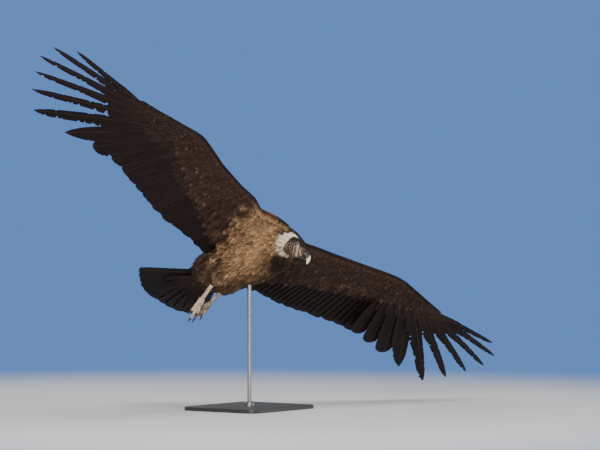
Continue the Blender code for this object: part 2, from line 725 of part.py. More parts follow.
def head_nodes():
    """Skull with lids, ear openings and nostrils, both halves of the bill, and the eyes."""
    rings = [oval((x, 0, (top + low) / 2), (0, 1, 0), (0, 0, 1), w, (top - low) / 2, SKULL_SIDES, 2.2)
             for x, top, low, w in SKULL_STATIONS]
    head = head_piece("head", *loft(rings), "head")
    nodes = {"head": head}
    joined, removed = [], []
    for name, side in (("left", 1), ("right", -1)):
        lid_at = (0.0, side * (EYE_SIDE + 0.0070), 0.0)
        joined.append(head_piece("lid", *ring_tube(lid_at, LID_RADIUS, LID_THICK, 0.86, -side * 0.0012), "head"))
        ear = (EAR_AT[0], side * 0.0325, EAR_AT[2])
        removed.append(head_piece("ear_pit", *ball(ear, (EAR_RADIUS, 0.010, EAR_RADIUS * 1.15), 6, 10), "head"))
    boolean(head, joined, "UNION")
    for name, side in (("left", 1), ("right", -1)):
        eye = head_piece(f"eye_{name}", *ball((0.0, side * EYE_SIDE, 0.0), (EYE_RADIUS,) * 3), "eye")
        nodes[f"eye_{name}"] = eye
        removed.append(grown(eye, GAP))
    boolean(head, removed, "DIFFERENCE")
    keep_largest(head)
    nodes["bill_upper"] = bill("bill_upper", BILL_STATIONS, 2.3)
    nodes["bill_lower"] = bill("bill_lower", LOWER_BILL_STATIONS, 2.3)
    nostril = head_piece("nostril", *ball(NOSTRIL_AT, NOSTRIL_SIZE, 6, 8), "bill")
    boolean(nodes["bill_upper"], [nostril], "DIFFERENCE")
    keep_largest(nodes["bill_upper"])
    clear_of(nodes["bill_upper"], head)
    clear_of(nodes["bill_lower"], head, nodes["bill_upper"])
    return nodes


def bill(name, stations, square):
    rings = []
    for x, z, w, h, turn in stations:
        a = math.radians(turn)
        rings.append(oval((x, 0, z), (0, 1, 0), (math.sin(a), 0, math.cos(a)), w, h, 14, square))
    return head_piece(name, *loft(rings), "bill")


def neck_nodes(torso, head, eye):
    """The short neck and, round its root, a collar of downy locks."""
    path = [(x, y, z) for x, y, z, r in NECK_STATIONS]
    neck = tube(path, [r for x, y, z, r in NECK_STATIONS], 14, "neck", "head")
    clear_of(neck, torso, head, eye)
    axis = unit(RUFF_AXIS)
    side = unit(np.cross((0, 0, 1.0), axis))
    up = np.cross(axis, side)
    points, faces = [], []
    rings, sides = 16, 6
    for i in range(rings):
        a = 2 * np.pi * i / rings
        out = side * math.cos(a) + up * math.sin(a)
        dip = axis * RUFF_DIP * (1 + math.cos(a)) / 2
        nape = max(0.0, math.sin(a))
        radius, core = RUFF_RADIUS * (1 - RUFF_NAPE[0] * nape), RUFF_CORE * (1 - RUFF_NAPE[1] * nape)
        for j in range(sides):
            b = 2 * np.pi * j / sides
            points.append(np.array(RUFF_AT) - dip + out * (radius + core * math.cos(b)) + axis * core * math.sin(b))
    for i in range(rings):
        for j in range(sides):
            a, b = i * sides + j, i * sides + (j + 1) % sides
            c, d = ((i + 1) % rings) * sides + j, ((i + 1) % rings) * sides + (j + 1) % sides
            faces += [(a, b, d), (a, d, c)]
    ruff = mesh_object("ruff", *turned_right(points, faces), "ruff")
    locks = []
    for tier, (offset, length, lean) in enumerate(RUFF_TIERS):
        for i in range(RUFF_LOCKS):
            a = 2 * np.pi * (i + 0.5 * tier) / RUFF_LOCKS
            out = side * math.cos(a) + up * math.sin(a)
            turn = math.radians(lean)
            along = out * math.sin(turn) - axis * math.cos(turn)
            over = unit(out * math.cos(turn) + axis * math.sin(turn))
            dip = axis * RUFF_DIP * (1 + math.cos(a)) / 2
            nape = max(0.0, math.sin(a))
            root = (np.array(RUFF_AT) - dip + out * (RUFF_RADIUS * (1 - RUFF_NAPE[0] * nape) + 0.002)
                    + axis * offset * 0.5)
            wide = math.pi * RUFF_RADIUS / RUFF_LOCKS * 1.55
            size = length * (1 + 0.12 * math.sin(5 * i)) * (1 - RUFF_NAPE[2] * nape)
            locks.append(vane("lock", root, along, over, size, (wide, wide), "lock", "ruff", tilt=9.0, curl=-0.22,
                              edge=0.0022, flat=True))
    boolean(ruff, locks, "UNION", "MANIFOLD")
    clear_of(ruff, torso, head, neck, eye)
    return {"neck": neck, "ruff": ruff}


def leg_nodes(name, torso):
    """Feathered thigh, bare tarsus, and a foot whose claws are nodes of their own."""
    leg = {key: np.array(value) for key, value in LEGS[name].items() if key != "side"}
    side = LEGS[name]["side"]
    nodes = {}
    hip, heel, toes, tip = leg["hip"], leg["heel"], leg["toes"], leg["tip"]
    path = [hip + (heel - hip) * s for s in (0.0, 0.3, 0.6, 0.85, 1.04)]
    thigh = tube(path, (0.046, 0.046, 0.041, 0.031, 0.017), 12, f"thigh_{name}", "body")
    clear_of(thigh, torso)
    down = unit(toes - heel)
    path = [heel - down * 0.012, heel, heel + (toes - heel) * 0.25, heel + (toes - heel) * 0.75, toes]
    tarsus = tube(path, np.array((0.75, 1.15, 0.95, 0.92, 1.15)) * TARSUS_RADIUS, 10, f"tarsus_{name}", "leg")
    clear_of(tarsus, thigh, torso)
    ahead = unit(tip - toes)
    across = unit(np.cross(ahead, down + np.array([0.2, 0, -1.0])))
    across = across if across[1] * side < 0 else -across
    below = unit(np.cross(across, ahead))
    below = below if below @ down > 0 else -below
    foot_path = [toes - down * 0.002, toes + ahead * 0.012, toes + ahead * 0.024]
    foot = tube(foot_path, (0.0125, 0.0150, 0.0100), 10, f"foot_{name}", "leg", flat=0.85)
    pieces, claws = [], []
    for toe in TOES:
        spread = math.radians(9.0 * toe["spread"])
        if toe["lift"]:
            way = unit(-below * 0.45 + ahead * 0.95 + across * 0.15)
            start = toes - ahead * 0.002 - below * 0.003
        else:
            way = unit(ahead * math.cos(spread) + across * math.sin(spread))
            start = toes + ahead * 0.008 + across * 0.006 * toe["spread"]
        length = toe["length"]
        spots = (0.0, 0.34, 0.46, 0.72, 1.0)
        sizes = (1.15, 0.90, 1.06, 0.92, 0.62)
        bend = -0.10 if toe["lift"] else 0.06
        path = [start + way * length * s + below * bend * length * s * s for s in spots]
        thickness = [TOE_RADIUS * size * (0.8 if toe["lift"] else 1.0) for size in sizes]
        pieces.append(tube(path, thickness, 6, "toe", "leg", up=below))
        end, onward = path[-1], unit(path[-1] - path[-2])
        hook = [end - onward * 0.008, end + onward * 0.001, end + onward * CLAW_LENGTH * 0.45 + below * 0.0015,
                end + onward * CLAW_LENGTH * 0.80 + below * 0.0055, end + onward * CLAW_LENGTH + below * 0.011]
        claws.append(tube(hook, (0.0030, 0.0042, 0.0036, 0.0022, 0.0006), 6, f"claw_{name}_{toe['name']}", "claw",
                          up=below))
    boolean(foot, pieces, "UNION")
    clear_of(foot, tarsus)
    for claw in claws:
        boolean(foot, [grown(claw, GAP)], "DIFFERENCE")
    keep_largest(foot)
    nodes.update(thigh=thigh, tarsus=tarsus, foot=foot, claws=claws)
    return nodes


# Stand
def rounded_plate(name, size, corner, edge, colour):
    """Flat plate with rounded corners and a small bevel round its top."""
    half_x, half_y = size[0] / 2 - corner, size[1] / 2 - corner
    outline = []
    for quarter, (sx, sy) in enumerate(((1, 1), (-1, 1), (-1, -1), (1, -1))):
        for step in range(7):
            a = math.pi / 2 * (quarter + step / 6)
            outline.append((sx * half_x, sy * half_y, math.cos(a), math.sin(a)))
    rings = []
    for z, inset in ((0.0, 0.0), (size[2] - edge, 0.0), (size[2] - 0.3 * edge, 0.3 * edge), (size[2], edge)):
        rings.append([(x + c * (corner - inset), y + s * (corner - inset), z) for x, y, c, s in outline])
    return mesh_object(name, *turned_right(*loft(rings)), colour)


def stand_nodes(torso_top):
    base = rounded_plate("stand_base", BASE_SIZE, BASE_CORNER, BASE_EDGE, "base")
    collar_path = [(0, 0, BASE_SIZE[2] + GAP), (0, 0, BASE_SIZE[2] + COLLAR_HEIGHT * 0.7),
                   (0, 0, BASE_SIZE[2] + COLLAR_HEIGHT)]
    rod_path = [(0, 0, BASE_SIZE[2] + GAP), (0, 0, torso_top)]
    rod = tube(rod_path, (ROD_RADIUS, ROD_RADIUS), 16, "stand_rod", "rod", up=(0, 1, 0))
    collar = tube(collar_path, (COLLAR_RADIUS, COLLAR_RADIUS, COLLAR_RADIUS * 0.8), 20, "stand_collar", "rod",
                  up=(0, 1, 0))
    boolean(collar, [grown(rod, GAP)], "DIFFERENCE")
    return base, rod, collar


def main():
    for obj in list(bpy.data.objects):
        bpy.data.objects.remove(obj)
    bird = bpy.data.objects.new("bird", None)
    bpy.context.scene.collection.objects.link(bird)
    torso = torso_node()
    nodes = [torso, tail_node(torso)]
    head = head_nodes()
    nodes += head.values()
    nodes += neck_nodes(torso, head["head"], head["eye_left"]).values()
    for name in ("left", "right"):
        nodes += wing_nodes(name, torso).values()
        leg = leg_nodes(name, torso)
        nodes += [leg["thigh"], leg["tarsus"], leg["foot"], *leg["claws"]]
    bird.location = (BIRD_ASIDE, BIRD_FORWARD, BIRD_HEIGHT)
    bird.rotation_euler = [math.radians(a) for a in (-BANK, -CLIMB, HEADING)]
    for node in nodes:
        node.parent = bird
    bpy.context.view_layer.update()
    base, rod, collar = stand_nodes(BIRD_HEIGHT - 0.03)
    boolean(torso, [grown(rod, GAP)], "DIFFERENCE")
    keep_largest(torso)


main()
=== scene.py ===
"""Life-size Andean condor in banking flight on a plain display stand, dressed for its portrait.

Everything is drawn in the bird's own frame, x forward, y to its left and z up its back,
and then banked above the stand. Metres, +Z up, origin under the stand's base.
"""
import math

import bpy
import numpy as np
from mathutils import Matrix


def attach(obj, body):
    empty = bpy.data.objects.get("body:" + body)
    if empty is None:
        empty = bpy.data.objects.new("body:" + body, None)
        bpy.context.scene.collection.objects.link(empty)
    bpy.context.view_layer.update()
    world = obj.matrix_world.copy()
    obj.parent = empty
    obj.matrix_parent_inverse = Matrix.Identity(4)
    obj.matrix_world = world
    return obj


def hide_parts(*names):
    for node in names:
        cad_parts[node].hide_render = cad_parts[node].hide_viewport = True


bl_info = {
    "name": "Andean condor in flight",
    "version": (1, 0, 0),
    "blender": (4, 5, 0),
    "location": "View3D > Sidebar > Condor",
    "description": "Dresses the condor's solids with skin, feathers and horn, and lights a studio round it",
    "category": "Object",
}

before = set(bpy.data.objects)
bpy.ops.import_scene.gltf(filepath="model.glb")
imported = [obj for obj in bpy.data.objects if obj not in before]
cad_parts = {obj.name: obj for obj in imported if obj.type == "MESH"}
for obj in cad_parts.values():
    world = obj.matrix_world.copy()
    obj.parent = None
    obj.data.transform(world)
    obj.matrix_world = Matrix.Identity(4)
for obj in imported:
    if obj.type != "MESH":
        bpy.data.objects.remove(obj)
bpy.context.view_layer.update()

# Attitude of the bird on its rod
BANK = 30.2
CLIMB = 20.1
HEADING = -90.0
BIRD_HEIGHT = 0.66

# Depth of the body's plumage over its skin
COAT = 0.007

# Torso, from the tail root to the base of the neck: x, centre z, half width, half height
TORSO_STATIONS = (
    (-0.302, 0.018, 0.036, 0.024),
    (-0.274, 0.020, 0.078, 0.058),
    (-0.215, 0.017, 0.105, 0.085),
    (-0.150, 0.012, 0.112, 0.096),
    (-0.080, 0.005, 0.112, 0.098),
    (-0.005, 0.001, 0.115, 0.103),
    (0.065, 0.000, 0.115, 0.105),
    (0.125, 0.003, 0.108, 0.100),
    (0.170, 0.004, 0.096, 0.091),
    (0.205, 0.002, 0.074, 0.073),
    (0.230, -0.002, 0.046, 0.048),
)
TORSO_POWER = 2.15

# Head, set by its own frame: eye level at the middle of the head
HEAD_AT = (0.2927, -0.0190, -0.0560)
HEAD_YAW = 46.9
HEAD_DOWN = 24.6
HEAD_ROLL = 21.9
HEAD_SCALE = 0.90
# x, top z, bottom z, half width
SKULL_STATIONS = (
    (-0.060, 0.012, -0.040, 0.019),
    (-0.050, 0.0230, -0.0500, 0.0270),
    (-0.034, 0.0315, -0.0565, 0.0320),
    (-0.014, 0.0345, -0.0590, 0.0335),
    (0.004, 0.0320, -0.0580, 0.0320),
    (0.019, 0.0235, -0.0545, 0.0280),
    (0.032, 0.0150, -0.0490, 0.0230),
    (0.044, 0.0080, -0.0440, 0.0185),
    (0.049, 0.0050, -0.0415, 0.0150),
)
SKULL_POWER = 2.2
EYE_RADIUS = 0.0092
EYE_SIDE = 0.0260
LID_OPENING = 0.0074
EAR_AT = (-0.034, 0.0, -0.004)
EAR_RADIUS = 0.0062
# Upper bill along its curved middle line: x, z, half width, half height, turn downwards
BILL_STATIONS = (
    (0.040, -0.0150, 0.0160, 0.0185, 0.0),
    (0.052, -0.0165, 0.0142, 0.0180, 4.0),
    (0.063, -0.0185, 0.0122, 0.0165, 10.0),
    (0.073, -0.0225, 0.0106, 0.0150, 26.0),
    (0.0805, -0.0310, 0.0088, 0.0120, 52.0),
    (0.0845, -0.0410, 0.0066, 0.0085, 76.0),
    (0.0860, -0.0510, 0.0042, 0.0050, 92.0),
    (0.0850, -0.0605, 0.0016, 0.0018, 104.0),
)
LOWER_BILL_STATIONS = (
    (0.030, -0.0425, 0.0150, 0.0075, 2.0),
    (0.045, -0.0425, 0.0128, 0.0068, 2.0),
    (0.058, -0.0425, 0.0100, 0.0058, 2.0),
    (0.068, -0.0425, 0.0070, 0.0045, 2.0),
    (0.0735, -0.0420, 0.0034, 0.0026, 2.0),
)

# Neck: x, y, z, radius
NECK_STATIONS = (
    (0.185, 0.000, 0.000, 0.047),
    (0.215, -0.004, -0.008, 0.042),
    (0.243, -0.018, -0.026, 0.034),
    (0.262, -0.032, -0.040, 0.025),
)
# Ruff: its ring, and by how much the nape's side is drawn in, thinned and shortened
RUFF_AT = (0.2715, -0.0279, -0.0467)
RUFF_AXIS = (0.731, 0.062, -0.680)
RUFF_RADIUS = 0.038
RUFF_DIP = 0.022
RUFF_NAPE = (0.22, 0.30, 0.48)
RUFF_COUNT = 2600
GOLDEN_ANGLE = 2.399963

# Wings
SHOULDER = (0.197, 0.155, 0.085)
ARM_LENGTH = 0.522
HAND_LENGTH = 0.322
WING_POSE = {
    "left": {"side": 1, "arm": (16.5, 4.4, 10.4), "hand": (-4.6, 0.8, 18.5),
             "bow": (0.0, 0.002, 0.0, 0.0, 0.0), "reach": (0.378, 0.404, 0.392)},
    "right": {"side": -1, "arm": (12.5, 4.8, 7.7), "hand": (-12.4, 4.0, 9.7),
              "bow": (0.006, 0.017, 0.000, -0.009, 0.002), "reach": (0.364, 0.398, 0.405)},
}
MANTLE = 0.020
# Flesh of the wing along the arm (0 to 1) and the hand (1 to 2): place, chord, thickness
WING_STATIONS = (
    (-0.30, 0.300, 0.082),
    (-0.12, 0.290, 0.078),
    (0.06, 0.250, 0.066),
    (0.24, 0.200, 0.052),
    (0.50, 0.158, 0.041),
    (0.75, 0.130, 0.035),
    (0.94, 0.110, 0.032),
    (1.10, 0.094, 0.028),
    (1.35, 0.074, 0.022),
    (1.60, 0.056, 0.017),
    (1.82, 0.042, 0.013),
    (1.98, 0.026, 0.010),
)
AIRFOIL = ((0.0, 0.10), (0.03, 0.30), (0.11, 0.46), (0.28, 0.50), (0.52, 0.40), (0.78, 0.24), (1.0, 0.08))
CAMBER = 0.055
SECONDARY_COUNT = 24
SECONDARY_WIDTH = (0.026, 0.039)
# Places along the wing between which the secondaries and the primaries grow
SECONDARY_SPAN = (-0.10, 0.995)
PRIMARY_SPAN = (1.03, 1.91)
# Primaries from the wrist outwards: length, angle from straight back, leading and trailing half width
PRIMARIES = (
    (0.330, 23.0, 0.03828, 0.05568),
    (0.362, 33.5, 0.03944, 0.05800),
    (0.408, 43.5, 0.03944, 0.06032),
    (0.495, 52.2, 0.03132, 0.05452),
    (0.606, 62.3, 0.02552, 0.05684),
    (0.606, 71.4, 0.019, 0.038),
    (0.597, 79.8, 0.016, 0.032),
    (0.588, 87.6, 0.015, 0.028),
    (0.540, 95.0, 0.014, 0.026),
    (0.428, 101.4, 0.013, 0.024),
)
PRIMARY_LENGTHS, PRIMARY_FAN, PRIMARY_LEAD, PRIMARY_REAR = np.array(PRIMARIES).T
# Share of the length, share of the leading half width, share of the trailing half width
VANE_SHAPES = {
    "finger": ((0.0, 0.28, 0.18), (0.15, 0.72, 0.52), (0.36, 1.0, 1.0), (0.50, 0.80, 0.76),
               (0.62, 0.76, 0.60), (0.86, 0.58, 0.46), (0.95, 0.34, 0.28), (1.0, 0.04, 0.04)),
    "primary": ((0.0, 0.22, 0.18), (0.20, 0.62, 0.62), (0.66, 1.0, 1.0), (0.88, 0.95, 0.92),
                (0.95, 0.74, 0.70), (0.985, 0.42, 0.38), (1.0, 0.06, 0.05)),
    "paddle": ((0.0, 0.22, 0.18), (0.20, 0.62, 0.62), (0.60, 1.0, 1.0), (0.82, 0.84, 0.74),
               (0.93, 0.50, 0.40), (1.0, 0.05, 0.05)),
    "broad": ((0.0, 0.35, 0.40), (0.22, 0.95, 0.95), (0.62, 1.0, 1.0), (0.93, 1.0, 0.98),
              (0.975, 0.84, 0.80), (0.993, 0.50, 0.46), (1.0, 0.10, 0.10)),
    "tuft": ((0.0, 0.50, 0.50), (0.30, 1.0, 1.0), (0.60, 0.90, 0.90), (0.84, 0.62, 0.62),
             (0.95, 0.34, 0.34), (1.0, 0.05, 0.05)),
    "covert": ((0.0, 0.40, 0.40), (0.30, 0.92, 0.92), (0.62, 1.0, 1.0), (0.85, 0.86, 0.86),
               (0.95, 0.52, 0.52), (1.0, 0.08, 0.08)),
}

TAIL_AT = (-0.250, -0.006, 0.014)
TAIL_TURN = -5.5
TAIL_COUNT = 12
TAIL_FAN = 36.5
TAIL_LENGTH = 0.300
TAIL_WIDTH = (0.024, 0.033)
TAIL_COVERTS = 190

# Legs: thigh top, heel, toe root, and where the middle toe points
LEGS = {
    "left": {"side": 1, "hip": (-0.110, 0.038, -0.020), "heel": (-0.168, 0.026, -0.080),
             "toes": (-0.252, 0.027, -0.121), "tip": (-0.352, 0.045, -0.145)},
    "right": {"side": -1, "hip": (-0.070, -0.060, -0.056), "heel": (-0.142, -0.064, -0.094),
              "toes": (-0.220, -0.052, -0.147), "tip": (-0.300, -0.036, -0.226)},
}
THIGH_PLACES = (0.0, 0.3, 0.6, 0.85, 1.04)
THIGH_RADII = (0.046, 0.046, 0.041, 0.031, 0.017)
TARSUS_RADIUS = 0.0092
SCUTE = 0.0052
TOE_RADIUS = 0.0078
TOES = (
    {"name": "middle", "spread": 0.0, "length": 0.092, "hind": False},
    {"name": "inner", "spread": 1.0, "length": 0.062, "hind": False},
    {"name": "outer", "spread": -1.0, "length": 0.062, "hind": False},
    {"name": "hind", "spread": 0.35, "length": 0.034, "hind": True},
)
CLAW_LENGTH = 0.024

# Rump over the tail's root: middle and half sizes
RUMP_AT = (-0.285, -0.006, 0.016)
RUMP_SIZE = (0.075, 0.070, 0.024)

# Stand
BASE_SIZE = (0.48, 0.40, 0.016)
BASE_CORNER = 0.045
BASE_EDGE = 0.003
ROD_RADIUS = 0.009
COLLAR_RADIUS = 0.024
COLLAR_HEIGHT = 0.018
GAP = 0.0003


# Numbers and curves
def unit(vectors):
    """Vectors scaled to length 1 along the last axis."""
    vectors = np.asarray(vectors, float)
    return vectors / np.maximum(np.linalg.norm(vectors, axis=-1, keepdims=True), 1e-12)


def turns(count):
    """Even angles round a full turn, in radians."""
    return np.linspace(0, 2 * np.pi, count, endpoint=False)


def dot(a, b):
    """Sum of products along the last axis, which is kept."""
    return (a * b).sum(-1, keepdims=True)


def eased(x, low, high):
    """0 below low, 1 above high and 3 s^2 - 2 s^3 between them, s the share of the way."""
    s = np.clip((np.asarray(x, float) - low) / (high - low), 0, 1)
    return s * s * (3 - 2 * s)


def curve(table, x, column=0):
    """Smooth value of columns of a table at x: cubic Hermite pieces whose slopes are harmonic means of the
    slopes on both sides, so that the curve never passes its stations."""
    table = np.asarray(table, float)
    order = np.argsort(table[:, column])
    xs, ys = table[order, column], np.delete(table[order], column, axis=1)
    step = np.diff(xs)[:, None]
    slope = np.diff(ys, axis=0) / step
    before, after = slope[:-1], slope[1:]
    same = before * after > 0
    inner = np.where(same, 2 * before * after / np.where(same, before + after, 1), 0)
    tangent = np.concatenate([slope[:1], inner, slope[-1:]])
    x = np.clip(np.asarray(x, float), xs[0], xs[-1])
    i = np.clip(np.searchsorted(xs, x, side="right") - 1, 0, len(xs) - 2)
    h = step[i]
    s = ((x - xs[i])[..., None]) / h
    return ((1 + 2 * s) * (1 - s) ** 2 * ys[i] + s * (1 - s) ** 2 * h * tangent[i]
            + s * s * (3 - 2 * s) * ys[i + 1] + s * s * (s - 1) * h * tangent[i + 1])


def ripple(points, size, seed, count=12):
    """Smooth random field of about unit spread: the sum of sines along random directions, whose wave lengths
    lie between 0.7 and 1.6 of size."""
    rng = np.random.default_rng(seed)
    ways = unit(rng.normal(size=(count, points.shape[-1])))
    ways = ways * 2 * np.pi / (size * rng.uniform(0.7, 1.6, (count, 1)))
    return np.sin(points @ ways.T + rng.uniform(0, 2 * np.pi, count)).sum(-1) * math.sqrt(2 / count)


def colour_mix(a, b, share):
    """Colour a where share is 0 and b where it is 1."""
    share = np.asarray(share, float)[..., None]
    return np.asarray(a, float) * (1 - share) + np.asarray(b, float) * share


def bird_turn():
    """Rotation from the bird's frame to the room: bank about x, then climb about y, then heading about z."""
    a, b, c = (math.radians(v) for v in (-BANK, -CLIMB, HEADING))
    about_x = np.array([[1, 0, 0], [0, math.cos(a), -math.sin(a)], [0, math.sin(a), math.cos(a)]])
    about_y = np.array([[math.cos(b), 0, math.sin(b)], [0, 1, 0], [-math.sin(b), 0, math.cos(b)]])
    about_z = np.array([[math.cos(c), -math.sin(c), 0], [math.sin(c), math.cos(c), 0], [0, 0, 1]])
    return about_z @ about_y @ about_x


TURN = bird_turn()


def in_room(points):
    """Points of the bird's frame carried into the room."""
    return points @ TURN.T + (0, 0, BIRD_HEIGHT)


def head_turn():
    """Rotation from the head's frame to the bird's: roll about x, then down about y, then yaw about z."""
    yaw, down, roll = map(math.radians, (HEAD_YAW, HEAD_DOWN, HEAD_ROLL))
    cy, sy, cd, sd, cr, sr = (f(a) for a in (yaw, down, roll) for f in (math.cos, math.sin))
    turn_z = np.array([[cy, -sy, 0], [sy, cy, 0], [0, 0, 1]])
    turn_y = np.array([[cd, 0, sd], [0, 1, 0], [-sd, 0, cd]])
    turn_x = np.array([[1, 0, 0], [0, cr, -sr], [0, sr, cr]])
    return turn_z @ turn_y @ turn_x


HEAD_TURN = head_turn()


def from_head(points):
    """Points of the head's frame carried into the bird's."""
    return points * HEAD_SCALE @ HEAD_TURN.T + HEAD_AT


def to_head(points):
    """Points of the bird's frame carried into the head's."""
    return (points - HEAD_AT) @ HEAD_TURN / HEAD_SCALE


# Meshes
def lofts(rings):
    """Triangles of closed tubes through rings, an array (tubes, rows, ring points, 3). Neighbouring rings are
    joined by quads split in two, and each end ring is filled from its first point."""
    tubes, rows, around = rings.shape[:3]
    j = np.arange(around)
    i = np.arange(rows - 1)[:, None]
    a, b = i * around + j, i * around + (j + 1) % around
    walls = np.stack([np.stack([a, b, b + around], -1), np.stack([a, b + around, a + around], -1)], 2)
    fan = np.stack([np.zeros(around - 2, int), j[2:], j[1:-1]], -1)
    top = fan[:, ::-1] + (rows - 1) * around
    faces = np.concatenate([walls.reshape(-1, 3), fan, top])
    return (np.arange(tubes)[:, None, None] * rows * around + faces).reshape(-1, 3)


def facing_out(points, faces):
    """The same triangles, all turned over if the volume that they enclose is negative."""
    p = points[faces]
    volume = np.einsum("ij,ij->", p[:, 0], np.cross(p[:, 1], p[:, 2]))
    return faces[:, ::-1] if volume < 0 else faces


def closed_tube(rings):
    """Points and outward triangles of one closed tube through rings, an array (rows, ring points, 3)."""
    points = rings.reshape(-1, 3)
    return points, facing_out(points, lofts(rings[None]))


def joined(shapes):
    """Points and triangles of several shapes in one pair of arrays."""
    points = [points for points, _ in shapes]
    starts = np.cumsum([0] + [len(part) for part in points])
    faces = [faces + start for (_, faces), start in zip(shapes, starts)]
    return np.concatenate(points), np.concatenate(faces)


def placed(name, data):
    """An object in the scene that shows the data."""
    made = bpy.data.objects.new(name, data)
    bpy.context.scene.collection.objects.link(made)
    return made


def new_piece(name, points, faces, materials, slot, replaced=(), colours=None, maps=None, sharp=None,
              where=None):
    """A mesh object at the origin from points and triangles, with a colour and places on UV maps for each
    point and a material's number for each triangle."""
    mesh = bpy.data.meshes.new(name)
    points, faces = np.asarray(points, float).reshape(-1, 3), np.asarray(faces).reshape(-1, 3)
    mesh.vertices.add(len(points))
    mesh.vertices.foreach_set("co", points.astype(np.float32).ravel())
    mesh.loops.add(faces.size)
    mesh.loops.foreach_set("vertex_index", faces.astype(np.int32).ravel())
    mesh.polygons.add(len(faces))
    mesh.polygons.foreach_set("loop_start", np.arange(0, faces.size, 3, dtype=np.int32))
    mesh.polygons.foreach_set("use_smooth", np.ones(len(faces), bool))
    for material in materials:
        mesh.materials.append(material)
    if where is not None:
        mesh.polygons.foreach_set("material_index", np.asarray(where, np.int32))
    mesh.update(calc_edges=True)
    if colours is not None:
        layer = mesh.color_attributes.new("plumage", "FLOAT_COLOR", "POINT")
        values = np.concatenate([np.reshape(colours, (-1, 3)), np.ones((len(points), 1))], 1)
        layer.data.foreach_set("color", values.astype(np.float32).ravel())
    for key, places in (maps or {}).items():
        layer = mesh.uv_layers.new(name=key)
        layer.data.foreach_set("uv", np.reshape(places, (-1, 2))[faces.ravel()].astype(np.float32).ravel())
    if sharp is not None:
        mesh.set_sharp_from_angle(angle=math.radians(sharp))
    made = placed(name, mesh)
    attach(made, "root")
    if replaced:
        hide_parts(*replaced)
    return made


def frames_along(path, up):
    """Directions along, across and over at each point of a path: along is the central difference, across is
    up times along, and over completes them."""
    along = unit(np.gradient(np.asarray(path, float), axis=0))
    across = unit(np.cross(np.broadcast_to(up, along.shape), along))
    return along, across, np.cross(along, across)


def tube_rings(path, radii, around, up=(0, 0, 1), flat=1.0):
    """Rings of a round tube along a path: centre + radius (cos a across + flat sin a over)."""
    _, across, over = frames_along(path, up)
    a = turns(around)
    radii = np.reshape(radii, (-1, 1, 1))
    return (np.asarray(path, float)[:, None] + radii * np.cos(a)[:, None] * across[:, None]
            + radii * flat * np.sin(a)[:, None] * over[:, None])


def resampled(path, count):
    """A path and what it carries, drawn through its own points by the smooth curve at even steps."""
    path = np.asarray(path, float)
    knots = np.linspace(0, 1, len(path))
    return curve(np.column_stack([knots, path]), np.linspace(0, 1, count))


# The wing as a surface
def blend_axes(axes, t):
    """Outward, backward and upward directions at places t: the root's up to the shoulder, then the arm's, and
    the hand's past the wrist, eased from one to the next."""
    first, second = eased(t, -0.10, 0.30)[..., None], eased(t, 0.82, 1.24)[..., None]
    out, back = (axes["root"][i] * (1 - first) + axes["arm"][i] * first for i in (0, 1))
    out, back = out * (1 - second) + axes["hand"][0] * second, back * (1 - second) + axes["hand"][1] * second
    out, back = unit(out), unit(back)
    return out, back, unit(np.cross(out, back))


def stretch_axes(sweep, rise, pitch):
    """Outward, backward and upward directions of a stretch of a left wing."""
    a, b, c = map(math.radians, (sweep, rise, pitch))
    out = np.array([math.sin(a) * math.cos(b), math.cos(a) * math.cos(b), math.sin(b)])
    back = unit(np.array([-1.0, 0.0, 0.0]) + out * out[0])
    up = np.cross(out, back)
    return out, math.cos(c) * back - math.sin(c) * up, math.cos(c) * up + math.sin(c) * back


